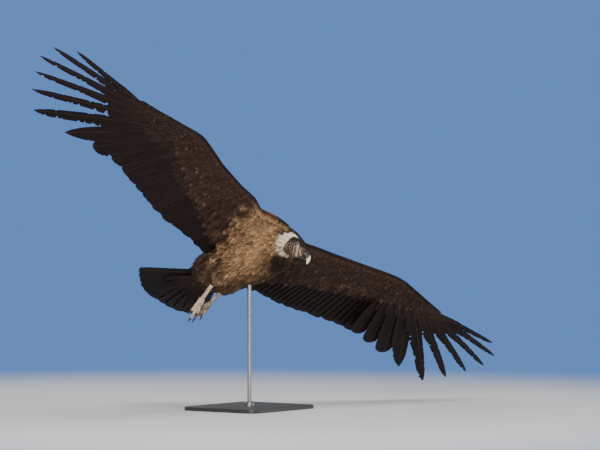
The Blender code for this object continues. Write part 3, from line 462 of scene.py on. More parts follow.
class Wing:
    """One wing, drawn as a left one. Places along it: 0 the shoulder, 1 the wrist, 2 the end of the hand."""

    def __init__(self, name):
        pose = WING_POSE[name]
        self.name, self.side, self.bow, self.reach = name, pose["side"], pose["bow"], pose["reach"]
        self.axes = {"arm": stretch_axes(*pose["arm"]), "hand": stretch_axes(*pose["hand"]),
                     "root": stretch_axes(0, 0, pose["arm"][2])}
        self.shoulder = np.array(SHOULDER)
        self.wrist = self.shoulder + ARM_LENGTH * self.axes["arm"][0]
        self.tip = self.wrist + HAND_LENGTH * self.axes["hand"][0]

    def straight_edge(self, t):
        """Leading edge before rounding: straight along the arm and the hand, with the arm's bow added."""
        t = np.asarray(t, float)[..., None]
        arm = self.shoulder + (self.wrist - self.shoulder) * np.clip(t, 0, 1)
        inner = np.minimum(t, 0) * ARM_LENGTH * np.array([0, 1.0, 0])
        inner = inner + MANTLE * np.clip(-t / 0.15, 0, 1) * np.array([1.0, 0, 0])
        outer = np.maximum(t - 1, 0) * (self.tip - self.wrist)
        bow = np.interp(t[..., 0], (0.0, 0.15, 0.35, 0.65, 1.0), self.bow)
        return arm + inner + outer + bow[..., None] * np.array([1.0, 0, 0])

    def edge(self, t):
        """Leading edge, with the corner at the wrist drawn as a quadratic curve."""
        t = np.asarray(t, float)
        reach = 0.14
        s = np.clip((t - 1 + reach) / (2 * reach), 0, 1)[..., None]
        bend = (self.straight_edge(1 - reach) * (1 - s) ** 2 + self.straight_edge(1.0) * 2 * s * (1 - s)
                + self.straight_edge(1 + reach) * s ** 2)
        return np.where((np.abs(t - 1) < reach)[..., None], bend, self.straight_edge(t))

    def at(self, t, back_by, height=0.0):
        """Point back_by metres behind the leading edge and height above the middle of the wing."""
        t = np.asarray(t, float)
        _, back, up = blend_axes(self.axes, t)
        return (self.edge(t) + back * np.asarray(back_by, float)[..., None]
                + up * (np.asarray(height, float) + camber(t, back_by))[..., None])

    def place_of(self, points):
        """Place along the wing, distance behind the edge and height of points: t is moved by the outward part
        of the remainder until it settles."""
        t = np.clip((points[..., 1] - self.shoulder[1]) / ARM_LENGTH, -0.5, 2.1)
        for _ in range(4):
            out, back, up = blend_axes(self.axes, t)
            rest = points - self.edge(t)
            t = np.clip(t + (rest * out).sum(-1) / np.where(t < 1, ARM_LENGTH, HAND_LENGTH), -0.5, 2.1)
        out, back, up = blend_axes(self.axes, t)
        rest = points - self.edge(t)
        behind = (rest * back).sum(-1)
        return t, behind, (rest * up).sum(-1) - camber(t, behind)


def camber(t, behind):
    """Rise of the middle of the wing: a parabola over the chord, nothing behind it."""
    chord = curve(WING_STATIONS, t)[..., 0]
    share = np.clip(np.asarray(behind, float) / chord, 0, 1)
    return CAMBER * np.minimum(chord, 0.15) * 4 * share * (1 - share)


def flesh_half(t, behind):
    """Half thickness of the wing's flesh."""
    chord, thick = np.moveaxis(curve(WING_STATIONS, t), -1, 0)
    return thick * curve(AIRFOIL, np.clip(behind / chord, 0, 1))[..., 0] * (behind < chord)


WINGS = {name: Wing(name) for name in WING_POSE}


def mirrored(points, side):
    """Points of a left wing carried over to the wing on that side."""
    return points * np.array([1.0, side, 1.0])


# The body as fields: metres outside the surface, negative inside
def torso_field(p):
    """Radial distance from a superellipse whose halves follow the torso's stations."""
    x = np.clip(p[..., 0], TORSO_STATIONS[0][0], TORSO_STATIONS[-1][0])
    middle, half_w, half_h = np.moveaxis(curve(TORSO_STATIONS, x), -1, 0)
    y, z = p[..., 1], p[..., 2] - middle
    reach = (np.abs(y / half_w) ** TORSO_POWER + np.abs(z / half_h) ** TORSO_POWER) ** (1 / TORSO_POWER)
    ray = np.hypot(y, z)
    radial = np.where(reach > 1e-6, ray * (1 - 1 / np.maximum(reach, 1e-6)), -np.minimum(half_w, half_h))
    beyond = np.abs(p[..., 0] - x)
    return np.where(beyond > 0, np.hypot(np.maximum(radial, 0), beyond), radial)


def chain_field(p, path, radii):
    """Distance from a chain of segments, less a radius that runs evenly from point to point."""
    best = np.full(p.shape[:-1], 1e9)
    for a, b, ra, rb in zip(path[:-1], path[1:], radii[:-1], radii[1:]):
        a, way = np.asarray(a, float), np.asarray(b, float) - np.asarray(a, float)
        s = np.clip((p - a) @ way / (way @ way), 0, 1)
        best = np.minimum(best, np.linalg.norm(p - a - s[..., None] * way, axis=-1) - ra - (rb - ra) * s)
    return best


def wing_field(p, sheet):
    """Height over the wing less its half thickness: the flesh, and behind it a thin sheet of flight feathers
    if sheet isn't 0."""
    found = np.empty(p.shape[:-1])
    for wing in WINGS.values():
        mine = (p[..., 1] >= 0) == (wing.side > 0)
        if not mine.any():
            continue
        t, behind, height = wing.place_of(mirrored(p[mine], wing.side))
        half = flesh_half(t, np.maximum(behind, 0))
        if sheet:
            half = np.hypot(half, sheet * eased(behind, 0.0, 0.06))
        front = np.maximum(-behind, 0)
        chord = curve(WING_STATIONS, t)[..., 0]
        rear = np.maximum(behind - (chord if not sheet else 0.30), 0)
        over = np.abs(height) - half
        aside = np.hypot(front, rear)
        found[mine] = np.where(aside > 0, np.hypot(np.maximum(over, 0), aside), over)
    return found


def soft_least(a, b, round_by):
    """The lesser of two fields, with a fillet where they meet."""
    s = np.clip(0.5 + 0.5 * (b - a) / round_by, 0, 1)
    return b * (1 - s) + a * s - round_by * s * (1 - s)


def thigh_path(leg):
    """Points from a thigh's top to its heel and a little past it."""
    hip, heel = np.array(leg["hip"]), np.array(leg["heel"])
    return [hip + (heel - hip) * s for s in THIGH_PLACES]


def body_field(p, sheet=0.0):
    """Torso, wings, thighs, neck and rump, joined with fillets."""
    found = soft_least(torso_field(p), wing_field(p, sheet), 0.045)
    for leg in LEGS.values():
        found = soft_least(found, chain_field(p, thigh_path(leg), THIGH_RADII), 0.020)
    neck = [row[:3] for row in NECK_STATIONS]
    found = soft_least(found, chain_field(p, neck, [row[3] for row in NECK_STATIONS]), 0.020)
    rump = np.linalg.norm((p - RUMP_AT) / RUMP_SIZE, axis=-1)
    return soft_least(found, (rump - 1) * 0.030, 0.020)


def coat_field(p):
    """The body with a sheet of flight feathers behind each wing's flesh, on which small feathers lie."""
    return body_field(p, 0.0065)


def settle(p, level, field, steps=2):
    """Points moved onto the surface where the field has that level, by Newton steps along its slope, and the
    outward directions there."""
    h = 0.0008
    for _ in range(steps):
        here = field(p)
        slope = np.stack([field(p + h * axis) - here for axis in np.eye(3)], -1) / h
        size = np.maximum(dot(slope, slope), 0.05)
        p = p - slope * ((here - level)[..., None] / size)
    return p, unit(slope)


# Feathers
SHAFT_WIDTH = 0.10
PATCH = 0.003
FEATHER_ROOT = -0.0030


def blades(centre, over, front, rear, quill, thin, cup, columns, hollow=True, fray=None):
    """Rings (feathers, rows, ring, 3) of thin blades and, for each point, its way across in metres.

    Across the blade a runs from 1 at the front edge to -1 at the rear one. The face stands at half the
    thickness, quill x exp(-(a / shaft)^2) + thin, and droops by cup x a^2 x width. With hollow the lower face
    is drawn in full as well, and otherwise it is one line under the shaft. fray pulls single barbs back at
    the tip.
    """
    along = unit(np.gradient(centre, axis=1))
    over = unit(over - along * dot(over, along))
    lead = np.cross(along, over)
    a = np.linspace(1, -1, columns)
    a = np.sign(a) * np.abs(a) ** 1.15
    across = np.where(a > 0, front[..., None] * a, rear[..., None] * a)
    half = (quill[..., None] * np.exp(-(a / SHAFT_WIDTH) ** 2) + thin) / 2
    droop = -cup * a * a * (front + rear)[..., None]
    pull = np.zeros_like(across) if fray is None else fray
    middle = centre[:, :, None] + lead[:, :, None] * across[..., None] - along[:, :, None] * pull[..., None]
    top = middle + over[:, :, None] * (droop + half)[..., None]
    if hollow:
        low = (middle + over[:, :, None] * (droop - half)[..., None])[:, :, ::-1]
        return np.concatenate([top, low], 2), np.concatenate([across, across[:, :, ::-1]], 2)
    low = (centre - over * (quill / 2 + 0.0002)[..., None])[:, :, None]
    return np.concatenate([top, low], 2), np.concatenate([across, np.zeros_like(across[..., :1])], 2)


def feather_piece(name, rings, across, colours, at, material, slot, side=1, replaced=(), sharp=45):
    """One mesh from the rings of many feathers. The vane map holds the way across and along each feather in
    metres, the bake map a small patch at its root's place on the unrolled skin."""
    share = np.linspace(0, 1, rings.shape[1])[None, :, None]
    steps = np.linalg.norm(np.diff(rings[:, :, 0], axis=1), axis=-1)
    run = np.concatenate([np.zeros((len(rings), 1)), np.cumsum(steps, 1)], 1)
    barb = run[..., None] - 0.8 * np.abs(across)
    wide = np.abs(across).max((1, 2), keepdims=True) + 1e-6
    patch = np.stack(np.broadcast_arrays(across / wide / 2, share - 0.5), -1)
    patch = at[:, None, None] + PATCH * patch
    faces = lofts(rings)
    if side < 0:
        faces = faces[:, ::-1]
    points = mirrored(rings, side).reshape(-1, 3)
    maps = {"vane": np.stack([across, barb], -1), "OFBake": np.clip(patch, 0.001, 0.999)}
    faces = facing_out(points, faces)
    new_piece(name, in_room(points), faces, [material], slot, replaced, colours, maps, sharp)


def notches(rng, count, rows, share, number, depth, sizes, start=0.25):
    """Factor on a vane's width along its length: 1, with sharp notches that slant towards the tip."""
    factor = np.ones((count, rows))
    for _ in range(number):
        place = rng.uniform(start, 0.98, (count, 1))
        size = rng.uniform(*sizes, (count, 1))
        deep = rng.uniform(0.2, 1.0, (count, 1)) * depth
        ahead = (share[None] - place) / size
        factor -= deep * np.clip(1 - np.abs(ahead), 0, 1) * (ahead > -1)
    return np.maximum(factor, 0.35)


def flight_feathers(grown, widths, shapes, grid, bend, rng, wear, thin=0.0006, quill=0.0030):
    """Rings of large feathers, given their roots, directions, upward sides and lengths L. Each is turned
    about its shaft by the bend's tilt in degrees. The shaft runs root + L s along + curl L s^2 over - sweep
    L s^2 lead, and each half width follows its shape's smooth curve, worn by notches."""
    roots, along, over, lengths = grown
    rows, columns = grid
    tilt, curl, sweep = bend
    along = unit(along)
    over = unit(over - along * dot(over, along))
    lead = np.cross(along, over)
    c, s = math.cos(math.radians(tilt)), math.sin(math.radians(tilt))
    lead, over = lead * c + over * s, over * c - lead * s
    share = np.linspace(0, 1, rows) ** 0.92
    s = share[None, :, None]
    size = lengths[:, None, None]
    centre = (roots[:, None] + along[:, None] * size * s + over[:, None] * curl * size * s ** 2
              - lead[:, None] * sweep * size * s ** 2)
    profile = np.stack([curve(VANE_SHAPES[name], share) for name in shapes])
    number, depth, sizes = wear
    front = np.reshape(widths[0], (-1, 1)) * profile[..., 0]
    front = front * notches(rng, len(roots), rows, share, number, depth * 0.6, sizes)
    rear = np.reshape(widths[1], (-1, 1)) * profile[..., 1]
    rear = rear * notches(rng, len(roots), rows, share, number, depth, sizes)
    tapered = quill + (0.0010 - quill) * share[None].repeat(len(roots), 0)
    return blades(centre, over[:, None].repeat(rows, 1), front, rear, tapered, thin, 0.035, columns)


def share_of(span, t):
    """How far t lies from a span's start, as a share of the span."""
    return (t - span[0]) / (span[1] - span[0])


def secondary_way(wing, t):
    """Direction of the arm's feathers at t: straight back, fanned by 0.30 s^3 - 0.03, laid in the wing's
    plane."""
    share = np.clip(share_of(SECONDARY_SPAN, t), 0, 1)
    up = blend_axes(wing.axes, t)[2]
    flat = np.stack([-np.ones_like(share), 0.30 * share ** 3 - 0.03, np.zeros_like(share)], -1)
    return unit(flat - up * dot(flat, up)), up


def hand_fan(wing, index, part=1.0):
    """Direction at a primary's number, turned outwards from straight back by part of the fan's angle."""
    out, back, _ = wing.axes["hand"]
    fan = part * np.radians(np.interp(index, np.arange(10), PRIMARY_FAN))[..., None]
    return back * np.cos(fan) + out * np.sin(fan)


def primary_way(wing, index):
    """Direction and upward side of the hand's feathers."""
    along = unit(hand_fan(wing, index))
    return along, np.broadcast_to(wing.axes["hand"][2], along.shape)


def lining_way(wing, t):
    """Direction of small feathers at t: the arm's, easing into most of the hand's fan past the wrist."""
    arm, _ = secondary_way(wing, np.minimum(t, SECONDARY_SPAN[1]))
    hand = hand_fan(wing, share_of(PRIMARY_SPAN, t) * 9, 0.85)
    share = eased(t, 0.88, 1.12)[..., None]
    return unit(arm * (1 - share) + hand * share)


def secondary_roots(wing):
    """Places of the arm's flight feathers along and behind the edge, and their roots, directions, upward
    sides and lengths."""
    index = np.arange(SECONDARY_COUNT)
    share = (index + 0.5) / SECONDARY_COUNT
    t = np.interp(share, (0, 1), SECONDARY_SPAN)
    along, up = secondary_way(wing, t)
    chord = curve(WING_STATIONS, t)[..., 0]
    start = np.minimum(0.66, 0.115 / chord) * chord
    reach = np.interp(share, (0.0, 0.5, 1.0), wing.reach) + 0.005 * np.sin(index * 2.4)
    return t, start, (wing.at(t, start), along, up, reach - start)


def primary_roots(wing):
    """Places of the hand's flight feathers, and their roots, directions, upward sides and lengths."""
    index = np.arange(10.0)
    share = index / 9
    t = np.interp(share, (0, 1), PRIMARY_SPAN)
    along, up = primary_way(wing, index)
    chord = curve(WING_STATIONS, t)[..., 0]
    root = wing.at(t, 0.60 * chord, -0.0012 * np.maximum(0, index - 5))
    root = root - along * (0.010 + 0.012 * share)[:, None]
    return t, (root, along, up, PRIMARY_LENGTHS)


def vane_colours(rings, across, tones, rng, spread=0.10, panel=None):
    """Colours of large feathers from a base, an edge and a root tone: root near the quill, edge along the
    rim, uneven from feather to feather. A panel colours the outer face of the leading web, on the upper
    side."""
    base, edge, root = tones
    share = np.linspace(0, 1, rings.shape[1])[None, :, None]
    wide = np.abs(across).max((1, 2), keepdims=True)
    rim = eased(np.abs(across) / wide, 0.72, 1.0) * 0.6 + eased(share, 0.93, 1.0) * 0.4
    tone = 1 + spread * rng.normal(size=(len(rings), 1, 1))
    streak = 1 + 0.10 * ripple(rings, 0.035, 5)
    colour = colour_mix(base, root, 1 - eased(share + 0 * across, 0.0, 0.35))
    colour = colour_mix(colour, edge, np.clip(rim, 0, 1))
    if panel is not None:
        outer = np.arange(rings.shape[2]) < rings.shape[2] // 2
        web = eased(across / wide, -0.15, 0.15) * (1 - eased(share, 0.84, 0.97)) * eased(share, 0.02, 0.12)
        colour = colour_mix(colour, panel, web * outer)
    return np.clip(colour * (tone * streak)[..., None], 0.002, 1)


def wing_at(t, behind):
    """Place on the bake map of the wing's unrolled skin."""
    return np.stack([0.03 + 0.94 * (np.asarray(t) + 0.35) / 2.45, 0.05 + np.asarray(behind) / 0.45 * 0.9], -1)


def laid_feathers(roots, ways, lengths, widths, lift, rows=6, columns=5, cup=0.10, fray=0.16, seed=0,
                  shape="covert"):
    """Rings of small feathers that keep to the coat. Each step goes on along the way, less its outward part,
    and settles where the field is FEATHER_ROOT + lift x s, so that tips lie over the roots behind them."""
    rng = np.random.default_rng(seed)
    share = np.linspace(0, 1, rows) ** 0.85
    lift = np.broadcast_to(lift, (len(roots),))
    point, outward = settle(roots, FEATHER_ROOT, coat_field)
    centre, over = [point], [outward]
    for before, now in zip(share[:-1], share[1:]):
        way = unit(ways - outward * dot(ways, outward))
        point = point + way * (lengths * (now - before))[:, None]
        point, outward = settle(point, FEATHER_ROOT + lift * now, coat_field, 1)
        centre.append(point)
        over.append(outward)
    centre, over = np.stack(centre, 1), np.stack(over, 1)
    width = widths[:, None] * curve(VANE_SHAPES[shape], share)[None, :, 0]
    pull = (rng.uniform(0, 1, (len(roots), 1, columns)) * fray * lengths[:, None, None]
            * eased(share, 0.45, 1.0)[None, :, None])
    thick = 0.0011 * (1 - 0.7 * share)[None].repeat(len(roots), 0)
    rings, across = blades(centre, over, width, width, thick, 0.0003, cup, columns, hollow=False, fray=pull)
    return rings, across, centre[:, 0], over[:, 0]


def laid_colours(rings, base, tip, root, rng, spread=0.16):
    """Colours of small feathers: root, then base, then tip, each feather a little darker or paler. A root
    darker than the base is painted shade under the feathers that lie over it.
    """
    count, rows, ring = rings.shape[:3]
    share = np.linspace(0, 1, rows)[None, :, None] + np.zeros((count, 1, ring))
    tone = np.exp(spread * rng.normal(size=(count, 1, 1, 1)))
    near = colour_mix(root[:, None, None], base[:, None, None], eased(share, 0.05, 0.5))
    colour = colour_mix(near, tip[:, None, None], eased(share, 0.55, 1.0))
    return np.clip(colour * tone, 0.002, 0.95)


# Where small feathers grow
def wing_rows(rng, start, end, last_behind, first_step, growth):
    """Staggered rows of places along and behind a wing's edge, with steps that grow away from the edge."""
    places, row, behind = [], 0, 0.002
    while behind < 0.30:
        step = first_step + growth * behind
        length = (min(end, 1.0) - start) * ARM_LENGTH + max(end - 1.0, 0) * HAND_LENGTH
        count = int(length / step)
        run = (np.arange(count) + 0.5 * (row % 2) + rng.uniform(-0.28, 0.28, count)) * step
        arm = (1.0 - start) * ARM_LENGTH
        t = np.where(run < arm, start + run / ARM_LENGTH, 1.0 + (run - arm) / HAND_LENGTH)
        here = behind + rng.uniform(-0.22, 0.22, len(t)) * step
        keep = (here < last_behind(t)) & (t < end) & (here > 0)
        places.append(np.stack([t[keep], here[keep]], -1))
        behind += step * 0.86
        row += 1
    return np.concatenate(places)


def torso_rows(rng, step):
    """Staggered rows round the torso."""
    places = []
    for row, x in enumerate(np.arange(-0.285, 0.238, step * 0.86)):
        _, half_w, half_h = curve(TORSO_STATIONS, x)
        count = int(2 * np.pi * math.sqrt((half_w ** 2 + half_h ** 2) / 2) / step)
        angle = (np.arange(count) + 0.5 * (row % 2) + rng.uniform(-0.28, 0.28, count)) * 2 * np.pi / count
        x_here = x + rng.uniform(-0.25, 0.25, count) * step
        places.append(np.stack([x_here, angle], -1))
    return np.concatenate(places)


def torso_point(x, angle):
    """Point of the torso's superellipse: halves times the signed powers of cosine and sine."""
    middle, half_w, half_h = np.moveaxis(curve(TORSO_STATIONS, x), -1, 0)
    c, s = np.cos(angle), np.sin(angle)
    c, s = (np.sign(v) * np.abs(v) ** (2 / TORSO_POWER) for v in (c, s))
    return np.stack([x, c * half_w, middle + s * half_h], -1)


# Closed shells
def shell_from(parts, voxel, smoothing=2):
    """One closed surface round overlapping closed tubes, drawn again at even steps and eased."""
    points, faces = joined([closed_tube(rings) for rings in parts])
    mesh = bpy.data.meshes.new("shell")
    mesh.from_pydata(points.tolist(), [], faces.tolist())
    made = placed("shell", mesh)
    again = made.modifiers.new("again", "REMESH")
    again.mode = "VOXEL"
    again.voxel_size = voxel
    ease = made.modifiers.new("ease", "SMOOTH")
    ease.factor, ease.iterations = 0.5, smoothing
    points, faces = evaluated_arrays(made)
    bpy.data.objects.remove(made)
    bpy.data.meshes.remove(mesh)
    return points, faces


def evaluated_arrays(made):
    """Points and triangles of an object with its modifiers."""
    graph = bpy.context.evaluated_depsgraph_get()
    shape = made.evaluated_get(graph)
    mesh = shape.to_mesh()
    mesh.calc_loop_triangles()
    points, faces = np.empty(len(mesh.vertices) * 3), np.empty(len(mesh.loop_triangles) * 3, np.int32)
    mesh.vertices.foreach_get("co", points)
    mesh.loop_triangles.foreach_get("vertices", faces)
    shape.to_mesh_clear()
    return points.reshape(-1, 3), faces.reshape(-1, 3)


def point_normals(points, faces):
    """Outward directions of points: the sum of the cross products of their triangles' sides."""
    p = points[faces]
    turned = np.cross(p[:, 1] - p[:, 0], p[:, 2] - p[:, 0])
    found = np.zeros_like(points)
    for corner in range(3):
        np.add.at(found, faces[:, corner], turned)
    return unit(found)


def oval_rings(centres, across, up, half_w, half_h, around, power=2.0):
    """Rings of superellipses: centre + w |cos|^(2/p) across + h |sin|^(2/p) up, signs kept."""
    a = turns(around)
    x, z = (np.sign(v) * np.abs(v) ** (2 / power) for v in (np.cos(a), np.sin(a)))
    wide = np.reshape(half_w, (-1, 1, 1)) * x[:, None] * np.asarray(across)
    high = np.reshape(half_h, (-1, 1, 1)) * z[:, None] * np.reshape(up, (-1, 1, 3))
    return np.asarray(centres, float)[:, None] + wide + high


def torso_rings():
    """Rings along the torso's stations."""
    x = np.linspace(TORSO_STATIONS[0][0], TORSO_STATIONS[-1][0], 72)
    middle, half_w, half_h = curve(TORSO_STATIONS, x).T
    centres = np.stack([x, 0 * x, middle], -1)
    return oval_rings(centres, (0, 1, 0), (0, 0, 1), half_w, half_h, 56, TORSO_POWER)


def wing_flesh_rings(wing):
    """Rings of the wing's flesh: the edge + chord x share back + (camber +- half) up."""
    t = np.linspace(-0.30, 1.98, 90)
    share = np.concatenate([np.linspace(0, 1, 15) ** 1.6, (np.linspace(1, 0, 15) ** 1.6)])
    sign = np.repeat([1.0, -1.0], 15)
    chord, thick = curve(WING_STATIONS, t).T
    behind = chord[:, None] * share
    height = sign * thick[:, None] * curve(AIRFOIL, share)[:, 0]
    t_all = np.broadcast_to(t[:, None], behind.shape)
    return mirrored(wing.at(t_all, behind, height), wing.side)


def body_shell():
    """Skin of the torso, wings, thighs, neck and rump: closed tubes joined, then eased into each other where
    they meet and sunk below the plumage."""
    parts = [torso_rings(), *(wing_flesh_rings(wing) for wing in WINGS.values())]
    for leg in LEGS.values():
        thigh = resampled(np.column_stack([thigh_path(leg), THIGH_RADII]), 20)
        parts.append(tube_rings(thigh[:, :3], thigh[:, 3], 24))
    neck = resampled(NECK_STATIONS, 12)
    parts.append(tube_rings(neck[:, :3], neck[:, 3], 24))
    s = np.linspace(0, 1, 12)
    bulge = np.sqrt(1 - (0.98 * s) ** 2)
    line = [(-0.24 - 0.1 * v, *RUMP_AT[1:]) for v in s]
    parts.append(oval_rings(line, (0, 1, 0), (0, 0, 1), 0.066 * bulge, 0.022 * bulge, 24))
    group = bpy.data.collections.new("parts")
    bpy.context.scene.collection.children.link(group)
    objects = []
    for rings in parts:
        points, faces = closed_tube(rings)
        mesh = bpy.data.meshes.new("part")
        mesh.from_pydata(points.tolist(), [], faces.tolist())
        objects.append(bpy.data.objects.new("part", mesh))
    bpy.context.scene.collection.objects.link(objects[0])
    for other in objects[1:]:
        group.objects.link(other)
    join = objects[0].modifiers.new("join", "BOOLEAN")
    join.operation, join.operand_type, join.collection, join.solver = "UNION", "COLLECTION", group, "MANIFOLD"
    bpy.context.view_layer.update()
    points, faces = evaluated_arrays(objects[0])
    for made in objects:
        bpy.data.objects.remove(made)
    bpy.data.collections.remove(group)
    near = np.abs(points[:, 1]) < 0.27
    level = -COAT * (1 - eased(np.abs(points[near, 1]), 0.15, 0.25)) - 0.001
    points[near] = settle(points[near], level, body_field, 3)[0]
    return points, faces


# Head
def skull_rings():
    """Rings along the skull's stations."""
    x = np.linspace(SKULL_STATIONS[0][0], SKULL_STATIONS[-1][0], 64)
    top, low, half_w = curve(SKULL_STATIONS, x).T
    centres = np.stack([x, 0 * x, (top + low) / 2], -1)
    return from_head(oval_rings(centres, (0, 1, 0), (0, 0, 1), half_w, (top - low) / 2, 72, SKULL_POWER))


def gaussian(distance, width):
    """Bell curve exp(-(distance / width)^2)."""
    return np.exp(-(distance / width) ** 2)


def skull_side(x, z):
    """Half width of the skull at x and z, from its superellipse."""
    top, low, half_w = np.moveaxis(curve(SKULL_STATIONS, x), -1, 0)
    share = np.abs((z - (top + low) / 2) / ((top - low) / 2))
    return half_w * (1 - np.minimum(share, 0.98) ** SKULL_POWER) ** (1 / SKULL_POWER)


def face_folds(own):
    """Folds of the loose skin, -1 in grooves and 1 on ridges: upright on cheek and throat, lengthwise on the
    crown, broken up by small warts."""
    x, y, z = own.T
    warp = ripple(own, 0.020, 3)
    upright = np.sin((x + 0.30 * z) / 0.0112 * 2 * np.pi + 1.1 * warp)
    upright = 0.75 * upright + 0.35 * np.sin((x + 0.20 * z) / 0.0047 * 2 * np.pi + 1.6 * warp)
    lengthwise = np.sin(y / 0.0072 * 2 * np.pi + 0.9 * warp)
    low = 1 - eased(z, -0.006, 0.010)
    return np.clip(upright * low + 0.75 * lengthwise * (1 - low) + 0.30 * ripple(own, 0.0055, 8), -1, 1)


# Folds that hang below the eye: start and end as x and z, half width and strength
DEWLAPS = (
    ((0.0120, -0.0030), (0.0240, -0.0480), 0.0044, 1.0),
    ((-0.0010, -0.0150), (0.0060, -0.0440), 0.0026, 0.45),
    ((0.0300, -0.0180), (0.0420, -0.0400), 0.0036, 0.75),
)
# An eye's lids: distance past the opening's rim and height over the skull's side
LID_PROFILE = ((-0.0003, -0.0016), (0.0, 0.0010), (0.0006, 0.0020), (0.0014, 0.0022), (0.0024, 0.0014),
               (0.0033, 0.0009), (0.0044, 0.0016), (0.0056, 0.0018), (0.0070, 0.0008), (0.0086, -0.0012),
               (0.0080, -0.0045), (0.0010, -0.0045))
# The eye's hollow, from its full depth to its rim, and the height of the bill's corner
SOCKET = (0.0088, 0.0112)
GAPE_HEIGHT = -0.0355


def dewlaps(x, z):
    """Each fold as a bell curve of the distance from its line."""
    found = np.zeros(x.shape)
    for start, end, width, strength in DEWLAPS:
        way = np.subtract(end, start)
        s = np.clip(((x - start[0]) * way[0] + (z - start[1]) * way[1]) / (way @ way), 0, 1)
        away = np.hypot(x - start[0] - s * way[0], z - start[1] - s * way[1])
        found = np.maximum(found, strength * gaussian(away, width))
    return found


def lid_rings(side):
    """Rings of an eye's lids: a lip round the opening, a groove and an outer fold, sunk in the skin at the
    rim."""
    past, height = np.array(LID_PROFILE).T
    a = turns(96)[:, None]
    reach = (LID_OPENING + past) * (1 + 0.03 * np.sin(7 * a + (LID_OPENING + past) * 900))
    brow = np.maximum(np.sin(a), 0)
    x = reach * np.cos(a) * 1.04
    z = reach * np.sin(a) * (0.90 - 0.10 * brow * (past < 0.002))
    rings = np.stack([x, side * (skull_side(x, z) + height + 0.0005 * brow), z], -1)
    return from_head(np.concatenate([rings, rings[:1]]))


def carve_head(points, faces):
    """Head's skin with its brows, sockets, ear pits and gape and the folds of its loose skin.

    Each form is a height along the outward direction: a bell curve of the distance from a point, ring or line
    on the side of the head, or for the folds sines along warped lines.
    """
    own = to_head(points)
    out = point_normals(points, faces) @ HEAD_TURN
    x, y, z = own.T
    flank = eased(np.abs(y), 0.008, 0.018) * eased(x, -0.075, -0.055)
    from_eye = np.hypot(x, z)
    from_ear = np.hypot(x - EAR_AT[0], z - EAR_AT[2])
    face = eased(x, -0.085, -0.060) * (1 - eased(x, 0.040, 0.048))
    clear = 1 - np.exp(-(from_eye / 0.0145) ** 4)
    height = 0.0011 * face_folds(own) * face * clear
    height += 0.0018 * dewlaps(x, z) * flank
    neck = 1 - eased(x, -0.075, -0.050)
    height += 0.0016 * neck * np.sin(x / 0.0085 * 2 * np.pi + 1.5 * ripple(own, 0.020, 3))
    height += 0.0022 * gaussian(np.hypot((x - 0.004) / 1.8, z - 0.0155), 0.0060) * flank
    height -= 0.0100 * (1 - eased(from_eye, *SOCKET)) * flank
    height += 0.0015 * gaussian(from_ear - EAR_RADIUS * 1.15, 0.0018) * flank
    height -= 0.0070 * (1 - eased(from_ear, EAR_RADIUS * 0.45, EAR_RADIUS * 0.95)) * flank
    gape = z - GAPE_HEIGHT - 0.10 * np.maximum(0.020 - x, 0)
    lips = 0.0010 * gaussian(gape - 0.0035, 0.0020) - 0.0018 * gaussian(gape, 0.0014)
    height += lips * eased(x, 0.004, 0.016) * flank
    return from_head(own + out * height[:, None])


def head_colours(points, base, cheek, pink, down):
    """Bare skin's colours: dark crown, tan streaks behind the eye, pinkish wrinkles before it, paler rims.
    The tan and pink sit on the folds' ridges and leave their grooves dark, painted light and shade over the
    skin's own streaks, and the ear opening is painted dark as shade.
    """
    own = to_head(points)
    x, _, z = own.T
    from_eye = np.hypot(x, z)
    # Painted light and shade: ridges of the folds take the paler tones, and grooves keep the dark base
    ridge = eased(face_folds(own), -0.35, 0.65)
    patch = ripple(own, 0.016, 21)
    behind = eased(-x, -0.012, 0.016) * eased(-z, -0.012, 0.010)
    before = eased(x, -0.008, 0.012) * eased(-z, -0.006, 0.006)
    lip = 0.55 * gaussian(from_eye - LID_OPENING - 0.0010, 0.0012) * (0.5 + 0.5 * ridge)
    fold = 0.35 * gaussian(from_eye - LID_OPENING - 0.0056, 0.0016) * eased(x, -0.006, 0.006)
    # Painted shade inside the ear opening
    painted_ear_shadow = 1 - eased(np.hypot(x - EAR_AT[0], z - EAR_AT[2]), EAR_RADIUS * 0.5, EAR_RADIUS * 0.9)
    colour = np.broadcast_to(base, own.shape)
    for tone, share in ((cheek, behind * np.clip(0.05 + 0.90 * ridge + 0.20 * patch, 0, 1)),
                        (cheek * 1.2, before * np.clip(0.10 + 0.75 * ridge + 0.20 * patch, 0, 1)),
                        (pink, np.clip(dewlaps(x, z) * (0.75 + 0.40 * ridge), 0, 1)),
                        (pink, lip),
                        (pink, fold),
                        (down, 0.8 * (1 - eased(x, -0.085, -0.066))),
                        ((0.010, 0.006, 0.005), painted_ear_shadow)):
        colour = colour_mix(colour, tone, share)
    return colour * (1 + 0.12 * ripple(own, 0.005, 23))[:, None]


